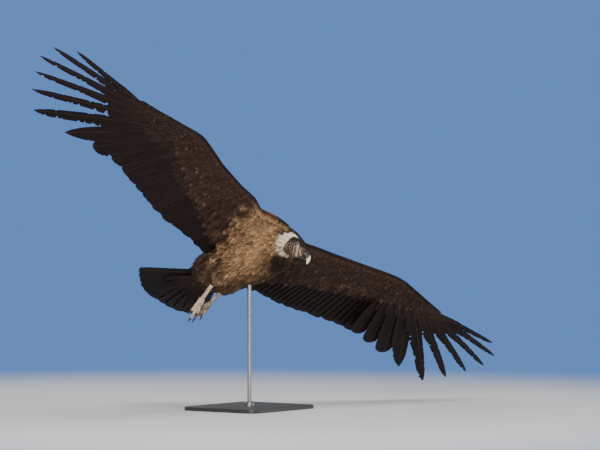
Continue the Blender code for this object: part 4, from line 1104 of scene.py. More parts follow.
# Legs
def leg_lines(name):
    """Paths and radii of a leg: tarsus, foot, toes and claws, from its heel, toe root and pointing."""
    leg = LEGS[name]
    heel, toes, tip = (np.array(leg[key]) for key in ("heel", "toes", "tip"))
    down = unit(toes - heel)
    ahead = unit(tip - toes)
    across = unit(np.cross(ahead, down + np.array([0.2, 0, -1.0])))
    across = across if across[1] * leg["side"] < 0 else -across
    below = unit(np.cross(across, ahead))
    below = below if below @ down > 0 else -below
    shank = toes - heel
    tarsus = [heel - down * 0.020, heel, heel + shank * 0.25, heel + shank * 0.75, toes + down * 0.004]
    foot = [toes - down * 0.002, toes + ahead * 0.012, toes + ahead * 0.024]
    lines = [("tarsus", tarsus, np.array((0.75, 1.15, 0.95, 0.92, 1.15)) * TARSUS_RADIUS),
             ("foot", foot, (0.0125, 0.0150, 0.0100))]
    for toe in TOES:
        if toe["hind"]:
            way = unit(-below * 0.45 + ahead * 0.95 + across * 0.15)
            start = toes - ahead * 0.002 - below * 0.003
            bend, size = -0.10, TOE_RADIUS * 0.8
        else:
            spread = math.radians(9.0 * toe["spread"])
            way = unit(ahead * math.cos(spread) + across * math.sin(spread))
            start = toes + ahead * 0.008 + across * 0.006 * toe["spread"]
            bend, size = 0.06, TOE_RADIUS
        path = [start + (way + below * bend * s) * toe["length"] * s for s in (0.0, 0.34, 0.46, 0.72, 1.0)]
        lines.append(("toe", path, np.array((1.15, 0.90, 1.06, 0.92, 0.62)) * size))
        end, onward = path[-1], unit(path[-1] - path[-2])
        hook = [end + onward * run + below * drop for run, drop in
                ((-0.006, 0), (0.001, 0), (CLAW_LENGTH * 0.45, 0.0015), (CLAW_LENGTH * 0.80, 0.0055),
                 (CLAW_LENGTH, 0.011))]
        lines.append(("claw_" + toe["name"], hook, (0.0036, 0.0042, 0.0036, 0.0022, 0.0006)))
    return lines, below


def leg_shell(name):
    """Skin of a leg below the feathers, with a raised scute every few millimetres along its upper side."""
    lines, below = leg_lines(name)
    fleshy = [np.column_stack([path, radii]) for kind, path, radii in lines if not kind.startswith("claw")]
    fine = [resampled(line, 26) for line in fleshy]
    tubes = [tube_rings(line[:, :3], line[:, 3], 22, up=below) for line in fine]
    points, faces = shell_from(tubes, 0.0013, 3)
    out = point_normals(points, faces)
    best, scute = np.full(len(points), 1e9), np.zeros(len(points))
    for line in fleshy:
        fine = resampled(line, 40)
        away = (np.linalg.norm(points[:, None] - fine[None, :, :3], axis=-1) - fine[None, :, 3]).min(1)
        run = (points - fine[0, :3]) @ unit(fine[-1, :3] - fine[0, :3])
        scute = np.where(away < best, np.abs(np.sin(np.pi * run / SCUTE)) ** 0.6, scute)
        best = np.minimum(away, best)
    upper = eased(-(out @ below), -0.1, 0.5)
    height = 0.0006 * (scute - 0.6) * upper + 0.0003 * ripple(points, 0.0045, 31) * (1 - upper)
    return points + out * height[:, None], faces, scute, upper


# Materials
class Wiring:
    """Short hand for placing and linking the nodes of one tree."""

    def __init__(self, tree):
        """Keeps the tree."""
        self.tree = tree

    def node(self, kind, **settings):
        """A new node with its settings."""
        made = self.tree.nodes.new("ShaderNode" + kind)
        for key, value in settings.items():
            setattr(made, key, value)
        return made

    def link(self, source, target):
        """An output joined to an input."""
        self.tree.links.new(source, target)

    def feed(self, node, **values):
        """Sets or links the inputs of a node, named with _ for a blank, or i and a number."""
        for key, value in values.items():
            socket = node.inputs[int(key[1:]) if key[1:].isdigit() else key.replace("_", " ")]
            if isinstance(value, bpy.types.NodeSocket):
                self.link(value, socket)
            else:
                socket.default_value = value
        return node

    def math(self, operation, a, b=0.0, clamp=False):
        """a and b, joined by the operation."""
        made = self.node("Math", operation=operation, use_clamp=clamp)
        return self.feed(made, i0=a, i1=b).outputs[0]

    def mix(self, share, a, b, blend="MIX"):
        """Colour a blended into b by a share."""
        made = self.node("Mix", data_type="RGBA", blend_type=blend, clamp_result=True)
        return self.feed(made, i0=share, i6=a, i7=b).outputs[2]

    def ramp(self, value, low, high, to_low=0.0, to_high=1.0):
        """A smooth step from to_low to to_high while the value goes from low to high."""
        made = self.node("MapRange", interpolation_type="SMOOTHSTEP")
        self.feed(made, Value=value, From_Min=low, From_Max=high, To_Min=to_low, To_Max=to_high)
        return made.outputs[0]

    def swing(self, value, middle, gain):
        """(value - middle) x gain."""
        return self.math("MULTIPLY", self.math("SUBTRACT", value, middle), gain)

    def scaled(self, colour, swing):
        """A colour times 1 + swing."""
        gain = self.math("ADD", swing, 1.0)
        grey = self.feed(self.node("CombineColor"), Red=gain, Green=gain, Blue=gain)
        return self.mix(1.0, colour, grey.outputs[0], "MULTIPLY")


def shared_group(wire, inputs):
    """A shader group with these inputs and the outputs Colour, Roughness and Height, wired once and named
    after the function that wires it."""
    found = bpy.data.node_groups.get(wire.__name__)
    if found:
        return found
    group = bpy.data.node_groups.new(wire.__name__, "ShaderNodeTree")
    for label, default in inputs.items():
        kind = "NodeSocketColor" if isinstance(default, tuple) else "NodeSocketFloat"
        group.interface.new_socket(name=label, in_out="INPUT", socket_type=kind).default_value = default
    for label in ("Colour", "Roughness", "Height"):
        kind = "NodeSocketColor" if label == "Colour" else "NodeSocketFloat"
        group.interface.new_socket(name=label, in_out="OUTPUT", socket_type=kind)
    w = Wiring(group)
    ins, outs = group.nodes.new("NodeGroupInput"), group.nodes.new("NodeGroupOutput")
    colour, roughness, height = wire(w, ins.outputs)
    w.feed(outs, Colour=colour, Roughness=roughness, Height=height)
    return group


def barbs_and_shaft(w, ins):
    """Barbs and shaft of a feather from its vane map: x is the way across and y the way along a barb."""
    parts = w.node("SeparateXYZ")
    w.link(w.node("UVMap", uv_map="vane").outputs[0], parts.inputs[0])
    fine, broad = w.node("TexNoise", noise_dimensions="1D"), w.node("TexNoise", noise_dimensions="1D")
    along = w.math("MULTIPLY", parts.outputs[1], ins["Barbs"])
    w.feed(fine, W=along, Scale=1.0, Detail=2.0, Roughness=0.6)
    w.feed(broad, W=w.math("MULTIPLY", parts.outputs[1], 90.0), Scale=1.0, Detail=1.0)
    streak = w.math("MULTIPLY", fine.outputs[0], 0.6)
    streak = w.math("ADD", streak, w.math("MULTIPLY", broad.outputs[0], 0.4))
    barbed = w.scaled(ins["Colour"], w.swing(streak, 0.5, ins["Contrast"]))
    across = w.math("DIVIDE", w.math("ABSOLUTE", parts.outputs[0]), ins["Shaft Width"])
    shaft = w.math("MULTIPLY", w.ramp(w.math("SUBTRACT", 1.0, across, clamp=True), 0.0, 0.6), 0.8)
    rough = w.math("ADD", ins["Roughness"], w.swing(streak, 0.5, 0.25))
    rough = w.math("SUBTRACT", rough, w.math("MULTIPLY", shaft, 0.25))
    return w.mix(shaft, barbed, ins["Shaft Colour"]), rough, streak


def surface_grain(w, ins):
    """Small uneven grain: a colour, a roughness and a height from noise and cells on Object coordinates."""
    where = w.node("TexCoord").outputs["Object"]
    noise, cells = w.node("TexNoise"), w.node("TexVoronoi", feature="DISTANCE_TO_EDGE")
    w.feed(noise, Vector=where, Scale=ins["Scale"], Detail=5.0, Roughness=0.6)
    w.feed(cells, Vector=where, Scale=w.math("MULTIPLY", ins["Scale"], 1.6))
    split = w.ramp(cells.outputs[0], 0.0, 0.25)
    off = w.math("SUBTRACT", noise.outputs[0], 0.5)
    off = w.math("ADD", off, w.swing(split, 0.8, ins["Cells"]))
    colour = w.scaled(ins["Colour"], w.math("MULTIPLY", off, ins["Mottle"]))
    rough = w.math("ADD", ins["Roughness"], w.swing(noise.outputs[0], 0.5, 0.3))
    return colour, rough, w.math("ADD", noise.outputs[0], w.math("MULTIPLY", split, ins["Cells"]))


def finish_material(name, group, values, bump, distance, painted, constants):
    """A Principled material whose colour, roughness and bump come from a shared group."""
    found = bpy.data.materials.get(name)
    if found:
        return found
    made = bpy.data.materials.new(name)
    made.use_nodes = True
    w = Wiring(made.node_tree)
    shader = made.node_tree.nodes["Principled BSDF"]
    detail = w.node("Group", node_tree=group)
    w.feed(detail, **values)
    if painted:
        w.link(w.node("Attribute", attribute_name="plumage").outputs["Color"], detail.inputs["Colour"])
    raised = w.feed(w.node("Bump"), Strength=bump, Distance=distance, Height=detail.outputs["Height"])
    w.feed(shader, Base_Color=detail.outputs["Colour"], Roughness=detail.outputs["Roughness"],
           Normal=raised.outputs[0], **constants)
    return made


def plumage_material(name, barbs, contrast, roughness, specular, shaft=(0.045, 0.030, 0.024, 1),
                     shaft_width=0.0015, bump=0.35, **constants):
    """Feathers painted by their mesh, with barbs per metre, their contrast and a shaft."""
    group = shared_group(barbs_and_shaft, {
        "Colour": (0.1, 0.1, 0.1, 1), "Shaft Colour": (0.2, 0.15, 0.1, 1), "Shaft Width": 0.0012,
        "Barbs": 600.0, "Contrast": 0.5, "Roughness": 0.6})
    values = {"Shaft Colour": shaft, "Shaft Width": shaft_width, "Barbs": barbs, "Contrast": contrast,
              "Roughness": roughness}
    constants["Specular_IOR_Level"] = specular
    return finish_material(name, group, values, bump, 0.0006, True, constants)


def contour_material():
    """Soft matt feathers of the body and of the tail's coverts."""
    return plumage_material("contour_feather", 900.0, 1.7, 0.85, 0.14, (0.16, 0.10, 0.06, 1), 0.0001, 0.7)


def skin_material(name, scale, mottle, cells, roughness, bump, distance, colour=None, **constants):
    """Skin, horn, paint or metal with a fine grain, in one colour or painted by its mesh."""
    group = shared_group(surface_grain, {
        "Colour": (0.5, 0.5, 0.5, 1), "Scale": 300.0, "Mottle": 0.2, "Cells": 0.5, "Roughness": 0.5})
    values = {"Scale": scale, "Mottle": mottle, "Cells": cells, "Roughness": roughness}
    if colour is not None:
        values["Colour"] = (*colour, 1)
    return finish_material(name, group, values, bump, distance, colour is None, constants)


# What a user would change
def colour_property(name, description, default):
    """A colour that the panel shows."""
    return bpy.props.FloatVectorProperty(name=name, description=description, default=default, size=3, min=0,
                                         max=1, subtype="COLOR")


def length_property(name, description, default, low, high):
    """A length in metres that the panel shows."""
    return bpy.props.FloatProperty(name=name, description=description, default=default, min=low, max=high,
                                   unit="LENGTH")


class CondorColours(bpy.types.PropertyGroup):
    """Colours of the plumage, skin and horn."""
    breast: colour_property("Breast", "Feathers of the breast and belly", (0.190, 0.100, 0.046))
    breast_tip: colour_property("Breast tips", "Worn tips of the breast feathers", (0.37, 0.225, 0.120))
    back: colour_property("Back", "Feathers of the back", (0.026, 0.015, 0.011))
    lining: colour_property("Wing lining", "Small feathers under the wing", (0.034, 0.0175, 0.0125))
    flight: colour_property("Flight feathers", "Long feathers of the wing", (0.0098, 0.0044, 0.0037))
    flight_edge: colour_property("Flight feather edges", "Rims of the long feathers", (0.021, 0.0115, 0.0088))
    panel: colour_property("Upper wing panel", "Greyer outer webs on top of the wing", (0.185, 0.160, 0.138))
    tail: colour_property("Tail", "Tail feathers", (0.0078, 0.0050, 0.0058))
    ruff: colour_property("Ruff", "Down of the collar", (0.93, 0.80, 0.66))
    # The ruff's shade colour is painted shade on the collar's lower side and between its locks
    ruff_shade: colour_property("Ruff base", "Shaded lower down of the collar", (0.46, 0.31, 0.20))
    head: colour_property("Head", "Bare skin of the crown", (0.017, 0.012, 0.010))
    cheek: colour_property("Cheek", "Bare skin behind the eye", (0.22, 0.145, 0.090))
    pink: colour_property("Face", "Pale folds below the eye", (0.64, 0.48, 0.41))
    horn: colour_property("Bill tip", "Horn of the bill's hook", (0.86, 0.75, 0.55))
    horn_base: colour_property("Bill base", "Waxy skin round the nostrils", (0.034, 0.024, 0.020))
    iris: colour_property("Iris", "Ring of the eye", (0.060, 0.012, 0.006))
    leg: colour_property("Legs", "Skin of the legs", (0.68, 0.50, 0.35))
    # The leg grooves colour is painted shade: in the grooves between the scutes, on the legs' lower sides and
    # over the far leg
    leg_shade: colour_property("Leg grooves", "Skin between the scutes", (0.17, 0.11, 0.07))
    claw: colour_property("Claws", "Horn of the claws", (0.035, 0.028, 0.024))


class CondorFeathers(bpy.types.PropertyGroup):
    """Sizes of the small feathers."""
    body_step: length_property("Body step", "Space between feathers of the body", 0.0094, 0.006, 0.05)
    body_length: length_property("Body feather", "Length of the body's feathers", 0.044, 0.01, 0.1)
    wing_step: length_property("Lining step", "Space between the wing's small feathers", 0.0085, 0.006, 0.05)
    wear: bpy.props.FloatProperty(name="Wear", description="Depth of the notches in the long feathers",
                                  default=0.50, min=0, max=0.6, subtype="FACTOR")
    seed: bpy.props.IntProperty(name="Seed", description="Which uneven placing is drawn", default=7, min=0)


class CondorStudio(bpy.types.PropertyGroup):
    """Camera and light."""
    lens: bpy.props.FloatProperty(name="Lens", description="Focal length", default=152.1, min=20, max=500,
                                  unit="CAMERA")
    away: length_property("Distance", "Camera's distance from the bird", 11.22, 2, 60)
    floor: colour_property("Floor", "Colour of the studio floor", (0.78, 0.79, 0.80))
    backdrop: colour_property("Backdrop", "Plain colour behind the bird", (0.120, 0.262, 0.630))


def colours():
    """The colours that the scene holds now, by their names."""
    held = bpy.context.scene.condor_colours
    return {key: np.array(getattr(held, key)) for key in CondorColours.__annotations__}


# Direction whose slopes are dark, and the painted shadow that the head casts on the breast below it: place
# and size
MANTLE_WAY = (0.25, 0.05, 0.97)
HEAD_SHADOW_AT = (0.180, 0.020, -0.078)
HEAD_SHADOW_SIZE = (0.060, 0.074, 0.060)
# Most triangles in a piece of many feathers
PIECE_LIMIT = 190000


def markings(points, outward):
    """Colours of the body's plumage by place: brown below, spreading on to the wings' roots, and dark on the
    back, along the wings' edges and outwards. Painted shade darkens the brown under the head and on the lower
    side of the belly's left half, and the brown grows darker towards the rear. Gives base, tip and root; the
    darker root paints the shade under overlapping feathers."""
    c = colours()
    x, y, z = np.moveaxis(points, -1, 0)
    patch = ripple(points, 0.060, 41)
    streak = ripple(points * (0.22, 1.0, 1.0), 0.013, 42)
    below = 1 - eased(outward @ np.array(MANTLE_WAY) + 0.04 * patch, 0.16, 0.58)
    edge = np.zeros(points.shape[:-1])
    for wing in WINGS.values():
        out = y * wing.side
        mine = (out > 0.10) & (out < 0.36)
        _, behind, _ = wing.place_of(mirrored(points[mine], wing.side))
        front = 1 - eased(behind + 0.008 * patch[mine], 0.012, 0.050)
        edge[mine] = front * eased(out[mine], 0.15, 0.25)
    reach = np.where(y < 0, 0.205 + 0.55 * (x - 0.05), 0.115 + 0.10 * x) + 0.018 * patch
    inner = 1 - eased(np.abs(y), reach - 0.115, reach)
    warm = below * inner * (1 - edge)
    # Painted shade: hollow is the shadow that the head casts on the breast, and belly is the shade on the
    # belly's lower, left side; rear darkens the brown towards the tail
    from_head_shadow = np.linalg.norm((points - HEAD_SHADOW_AT) / HEAD_SHADOW_SIZE, axis=-1)
    hollow = 1 - eased(from_head_shadow + 0.14 * patch, 0.45, 1.20)
    belly = eased(y + 0.012 * patch, -0.065, -0.005) * eased(-outward[..., 2], 0.15, 0.65)
    rear = eased(-x - 0.4 * z + 0.02 * patch, 0.10, 0.24)
    shade = (1 - 0.84 * hollow) * (1 - 0.58 * belly) * (1 - 0.30 * rear)
    light = (shade * np.exp(0.20 * streak + 0.10 * patch))[..., None]
    dark = colour_mix(c["back"], c["lining"], below)
    dark = dark * ((1 - 0.25 * eased(np.abs(y), 0.55, 0.80)) * np.exp(0.16 * streak))[..., None]
    base = colour_mix(dark, c["breast"] * light, warm)
    tip = colour_mix(dark * 1.30, c["breast_tip"] * light, warm)
    fleck = np.sin(points @ np.array([9100.0, 7300.0, 8100.0])) > 0.985 - 0.06 * inner
    tip = np.where((fleck & (below > 0.5) & (warm < 0.7))[..., None], tip * 2.2 + 0.015, tip)
    # The root tone, darker than the base, is painted shade where feathers lie over each other
    return base, tip, base * 0.38


def split_pieces(name, rings, across, colour, at, material, slot, **more):
    """Feather pieces that keep to the limit on triangles."""
    each = 2 * rings.shape[2] * rings.shape[1]
    count = math.ceil(len(rings) * each / PIECE_LIMIT)
    for i, part in enumerate(np.array_split(np.arange(len(rings)), count)):
        label = name if count == 1 else f"{name}_{i + 1}"
        feather_piece(label, rings[part], across[part], colour[part], at[part], material, slot, **more)


class MakeSkin(bpy.types.Operator):
    """One skin over torso, wings, thighs, neck, head and legs, sunk below the plumage"""
    bl_idname = "condor.skin"
    bl_label = "Skin"

    def execute(self, context):
        c = colours()
        body, body_faces = body_shell()
        base, _, root = markings(body, point_normals(body, body_faces))
        neck = resampled([(*row[:3], row[3] * 0.97) for row in NECK_STATIONS], 24)
        head, faces = shell_from([skull_rings(), tube_rings(neck[:, :3], neck[:, 3], 40)], 0.0012, 4)
        lids = [closed_tube(lid_rings(side)) for side in (1, -1)]
        head, head_faces = joined([(carve_head(head, faces), faces), *lids])
        shapes = [(body, body_faces), (head, head_faces)]
        # Skin under the plumage takes the mean of base and the darker root, painted shade that shows between
        # the feathers
        tones = [(base + root) / 2, head_colours(head, c["head"], c["cheek"], c["pink"], c["ruff"])]
        # Painted shade: the far leg is darkened as if in shadow, and each leg darkens in the grooves between
        # its scutes and on its lower side
        for name, painted_far_leg_shade in (("left", 0.45), ("right", 0.0)):
            leg, faces, scute, upper = leg_shell(name)
            shapes.append((leg, faces))
            groove = painted_far_leg_shade + 0.50 * (1 - scute) + 0.15 * (1 - upper) + 0.18 * ripple(leg, 0.020, 51)
            tones.append(colour_mix(c["leg"], c["leg_shade"], np.clip(groove, 0, 1)))
        points, faces = joined(shapes)
        where = np.repeat([0, 1, 2, 2], [len(part) for _, part in shapes])
        replaced = ["torso", "neck", "head"]
        replaced += [f"{part}_{side}" for part in ("thigh", "tarsus", "foot") for side in LEGS]
        replaced += [f"wing_{side}_{part}" for side in WINGS for part in ("upper", "fore", "hand")]
        under = skin_material("skin_under_plumage", 120.0, 0.4, 0.2, 0.9, 0.4, 0.001, Specular_IOR_Level=0.1)
        bare = skin_material("bare_wrinkled_skin", 420.0, 0.35, 0.5, 0.62, 0.5, 0.0006,
                             Specular_IOR_Level=0.18)
        scuted = skin_material("scuted_leg_skin", 500.0, 0.25, 0.4, 0.50, 0.4, 0.0004)
        new_piece("skin", in_room(points), faces, [under, bare, scuted], "head_skin", replaced,
                  np.concatenate(tones), where=where)
        return {"FINISHED"}


class MakeFlightFeathers(bpy.types.Operator):
    """Primaries and secondaries of both wings, vane by vane"""
    bl_idname = "condor.flight"
    bl_label = "Flight feathers"

    def execute(self, context):
        c, sizes = colours(), context.scene.condor_feathers
        material = plumage_material("flight_feather", 520.0, 0.9, 0.55, 0.16)
        brown = (c["flight"], c["flight_edge"], c["lining"])
        for name, wing in WINGS.items():
            rng = np.random.default_rng(sizes.seed + (wing.side > 0))
            for kind, drawn, panel in (("secondaries", self.secondaries, c["panel"]),
                                       ("primaries", self.primaries, None)):
                rings, across, at = drawn(wing, sizes.wear, rng)
                tones = vane_colours(rings, across, brown, rng, 0.10, panel)
                split_pieces(f"{kind}_{name}", rings, across, tones, at, material, "wing_plumage",
                             side=wing.side)
        return {"FINISHED"}

    def secondaries(self, wing, wear, rng):
        """The arm's feathers, the outermost with a wider leading web."""
        t, start, (roots, along, up, lengths) = secondary_roots(wing)
        share = (np.arange(SECONDARY_COUNT) + 0.5) / SECONDARY_COUNT
        widths = (SECONDARY_WIDTH[0] + 0.016 * share ** 6, SECONDARY_WIDTH[1])
        grown = (roots, along, up, lengths * rng.normal(1, 0.013, len(t)))
        rings, across = flight_feathers(grown, widths, ["broad"] * len(t), (72, 9), (2.6, -0.03, 0.0), rng,
                                        (5, wear * 0.5, (0.004, 0.010)))
        return rings, across, wing_at(t, start)

    def primaries(self, wing, wear, rng):
        """The hand's ten feathers: the inner ones broad, the outer ones narrowed to fingers and more worn."""
        t, grown = primary_roots(wing)
        depths = wear * np.where(np.arange(10) < 4, 0.35, 1.0)[:, None]
        shapes = ["primary"] * 3 + ["paddle"] + ["finger"] * 6
        rings, across = flight_feathers(grown, (PRIMARY_LEAD, PRIMARY_REAR), shapes, (170, 9),
                                        (6.5, 0.02, 0.02), rng, (12, depths, (0.005, 0.015)))
        return rings, across, wing_at(t, np.full(10, 0.06))


class MakeCoverts(bpy.types.Operator):
    """Rows of coverts over the roots of the flight feathers, and the small feathers of the wings"""
    bl_idname = "condor.coverts"
    bl_label = "Coverts and lining"

    def execute(self, context):
        c, sizes = colours(), context.scene.condor_feathers
        large = plumage_material("covert", 600.0, 1.0, 0.60, 0.16, shaft_width=0.0009)
        small = plumage_material("small_covert", 800.0, 1.3, 0.75, 0.14, shaft_width=0.0003, bump=0.5)
        brown = ((c["flight"] + c["lining"]) / 2, c["flight_edge"], c["lining"])
        for name, wing in WINGS.items():
            for under in (True, False):
                label = f"{name}_{'under' if under else 'over'}"
                side = -1.0 if under else 1.0
                rng = np.random.default_rng(sizes.seed + 10 + 2 * under + (wing.side > 0))
                rings, across, at = self.greater(wing, side, rng)
                tones = vane_colours(rings, across, brown, rng, 0.14, None if under else c["panel"])
                split_pieces(f"greater_coverts_{label}", rings, across, tones, at, large, "wing_plumage",
                             side=wing.side)
                rings, across, tones, at = self.lining(wing, side, rng, sizes)
                split_pieces(f"small_coverts_{label}", rings, across, tones, at, small, "wing_plumage")
        return {"FINISHED"}

    def greater(self, wing, side, rng):
        """Large coverts: 20 along the arm, then one over each of the first nine primaries."""
        share = (np.arange(20) + 0.5) / 20
        t = np.interp(share, (0, 1), SECONDARY_SPAN)
        along, up = secondary_way(wing, t)
        chord, thick = curve(WING_STATIONS, t).T
        start = np.minimum(0.58, 0.10 / chord) * chord
        roots = wing.at(t, start, side * np.minimum(0.0072, thick * 0.22))
        index = np.arange(9.0)
        hand_t = np.interp(index / 9, (0, 1), PRIMARY_SPAN)
        hand_along, hand_up = primary_way(wing, index)
        hand_start = 0.60 * curve(WING_STATIONS, hand_t)[..., 0]
        hand_roots = wing.at(hand_t, hand_start, -0.0012 * np.maximum(0, index - 5)) + hand_up * side * 0.0052
        lengths = np.concatenate([0.205 - 0.045 * share - start * 0.35, 0.158 - 0.004 * index])
        wide = np.concatenate([np.full(20, 0.0314286), np.where(index > 3, 0.0125, 0.0175)])
        t, start = np.concatenate([t, hand_t]), np.concatenate([start, hand_start])
        up = np.concatenate([up, hand_up])
        along = unit(np.concatenate([along, hand_along]) + up * side * 0.014)
        grown = (np.concatenate([roots, hand_roots]), along, up * side, lengths * rng.normal(1, 0.03, len(t)))
        rings, across = flight_feathers(grown, (wide, wide), ["covert"] * len(t), (26, 7), (3.6, -0.01, 0.0),
                                        rng, (3, 0.18, (0.010, 0.025)), thin=0.0007, quill=0.0018)
        return rings, across, wing_at(t, start)

    def lining(self, wing, side, rng, sizes):
        """Small feathers from the leading edge back over the roots of the large coverts, with three rows
        round the edge itself."""
        t, behind = wing_rows(rng, -0.28, 1.97, lambda t: curve(WING_STATIONS, t)[..., 0] * 0.92 + 0.012,
                              sizes.wing_step, 0.055).T
        start, ways = wing.at(t, behind, side * (flesh_half(t, behind) + 0.003)), lining_way(wing, t)
        nose = np.tile(np.linspace(-0.30, 1.95, 250), 3) + 0.003 * rng.normal(size=750)
        level = np.repeat((0.1, 0.5, 0.9), 250) * flesh_half(nose, 0 * nose)
        out, back, up = blend_axes(wing.axes, nose)
        start = np.concatenate([start, wing.at(nose, np.full(750, -0.004), side * level)])
        ways = np.concatenate([ways, up * side + 0.55 * back + 0.35 * out])
        t, behind = np.concatenate([t, nose]), np.concatenate([behind, np.full(750, 0.001)])
        start, ways = mirrored(start, wing.side), mirrored(ways, wing.side)
        roots, _ = settle(start, 0.0, coat_field, 3)
        keep = np.linalg.norm(roots - start, axis=1) < 0.030
        roots, t, behind, ways = roots[keep], t[keep], behind[keep], ways[keep]
        ways = unit(ways + 0.12 * rng.normal(size=ways.shape))
        lengths = (0.026 + 0.26 * behind) * np.exp(0.12 * rng.normal(size=len(t)))
        widths = 0.0055 + 0.050 * behind
        rings, across, *ground = laid_feathers(roots, ways, lengths, widths, 0.0055, seed=sizes.seed + 3)
        return rings, across, laid_colours(rings, *markings(*ground), rng, 0.20), wing_at(t, behind)


class MakeBodyCoat(bpy.types.Operator):
    """Feathers of the breast, belly, flanks, back, thighs and neck"""
    bl_idname = "condor.body"
    bl_label = "Body feathers"

    def execute(self, context):
        sizes = context.scene.condor_feathers
        rng = np.random.default_rng(sizes.seed + 20)
        material = contour_material()
        places = torso_rows(rng, sizes.body_step)
        start = torso_point(*places.T)
        roots, _ = settle(start, 0.0, coat_field, 3)
        keep = (np.linalg.norm(roots - start, axis=1) < 0.030) & (roots[:, 0] > -0.29)
        roots, (x, angle) = roots[keep], places[keep].T
        count = len(roots)
        ways = np.tile((-1.0, 0, 0), (count, 1)) + 0.16 * rng.normal(size=roots.shape)
        lengths = sizes.body_length * (1 + 0.35 * eased(-roots[:, 0], -0.15, 0.15))
        lengths = lengths * np.exp(0.15 * rng.normal(size=count))
        widths = 0.0088 * np.exp(0.15 * rng.normal(size=count))
        lift = 0.0036 + 0.0015 * np.abs(rng.normal(size=count))
        lift += 0.0070 * (rng.uniform(size=count) < 0.06)
        rings, across, *ground = laid_feathers(roots, ways, lengths, widths, lift, columns=7, cup=0.12,
                                               fray=0.24, seed=sizes.seed + 4, shape="tuft")
        tones = laid_colours(rings, *markings(*ground), rng)
        at = np.stack([0.05 + 0.9 * (x + 0.3) / 0.56, 0.03 + 0.94 * (angle / (2 * np.pi) % 1)], -1)
        split_pieces("body_feathers", rings, across, tones, at, material, "body_plumage")
        for name, leg in LEGS.items():
            tube = np.column_stack([THIGH_PLACES, thigh_path(leg), THIGH_RADII])
            self.sleeve(f"thigh_feathers_{name}", tube, 0.12, 480, 1, sizes, rng, material)
        neck = np.column_stack([np.linspace(0, 1, 4), NECK_STATIONS])
        self.sleeve("neck_feathers", neck, 0.0, 420, -1, sizes, rng, material)
        return {"FINISHED"}

    def sleeve(self, name, tube, first, count, onward, sizes, rng, material):
        """Feathers round a tube of rows of share, place and radius, pointing onward along it or back."""
        s = np.repeat(np.linspace(first, 1.0, count // 30), 30)
        angle = rng.uniform(0, 2 * np.pi, len(s))
        s = np.clip(s + rng.uniform(-0.04, 0.04, len(s)), 0, 1)
        line = curve(tube, s)
        along = unit(tube[-1, 1:4] - tube[0, 1:4])
        across = unit(np.cross(along, (0, 0, 1)))
        out = np.cos(angle)[:, None] * across + np.sin(angle)[:, None] * np.cross(across, along)
        start = line[:, :3] + out * line[:, 3:]
        roots, _ = settle(start, 0.0, coat_field)
        keep = np.linalg.norm(roots - start, axis=1) < 0.022
        roots, s, angle = roots[keep], s[keep], angle[keep]
        ways = unit(onward * along + 0.14 * rng.normal(size=roots.shape))
        rings, laid, *ground = laid_feathers(roots, ways, rng.uniform(0.030, 0.046, len(roots)),
                                             np.full(len(roots), 0.0060), 0.0030, columns=7, fray=0.35,
                                             seed=sizes.seed + 5)
        tones = laid_colours(rings, *markings(*ground), rng, 0.18)
        at = np.stack([0.05 + 0.9 * s, 0.03 + 0.94 * angle / (2 * np.pi)], -1)
        split_pieces(name, rings, laid, tones, at, material, "body_plumage")


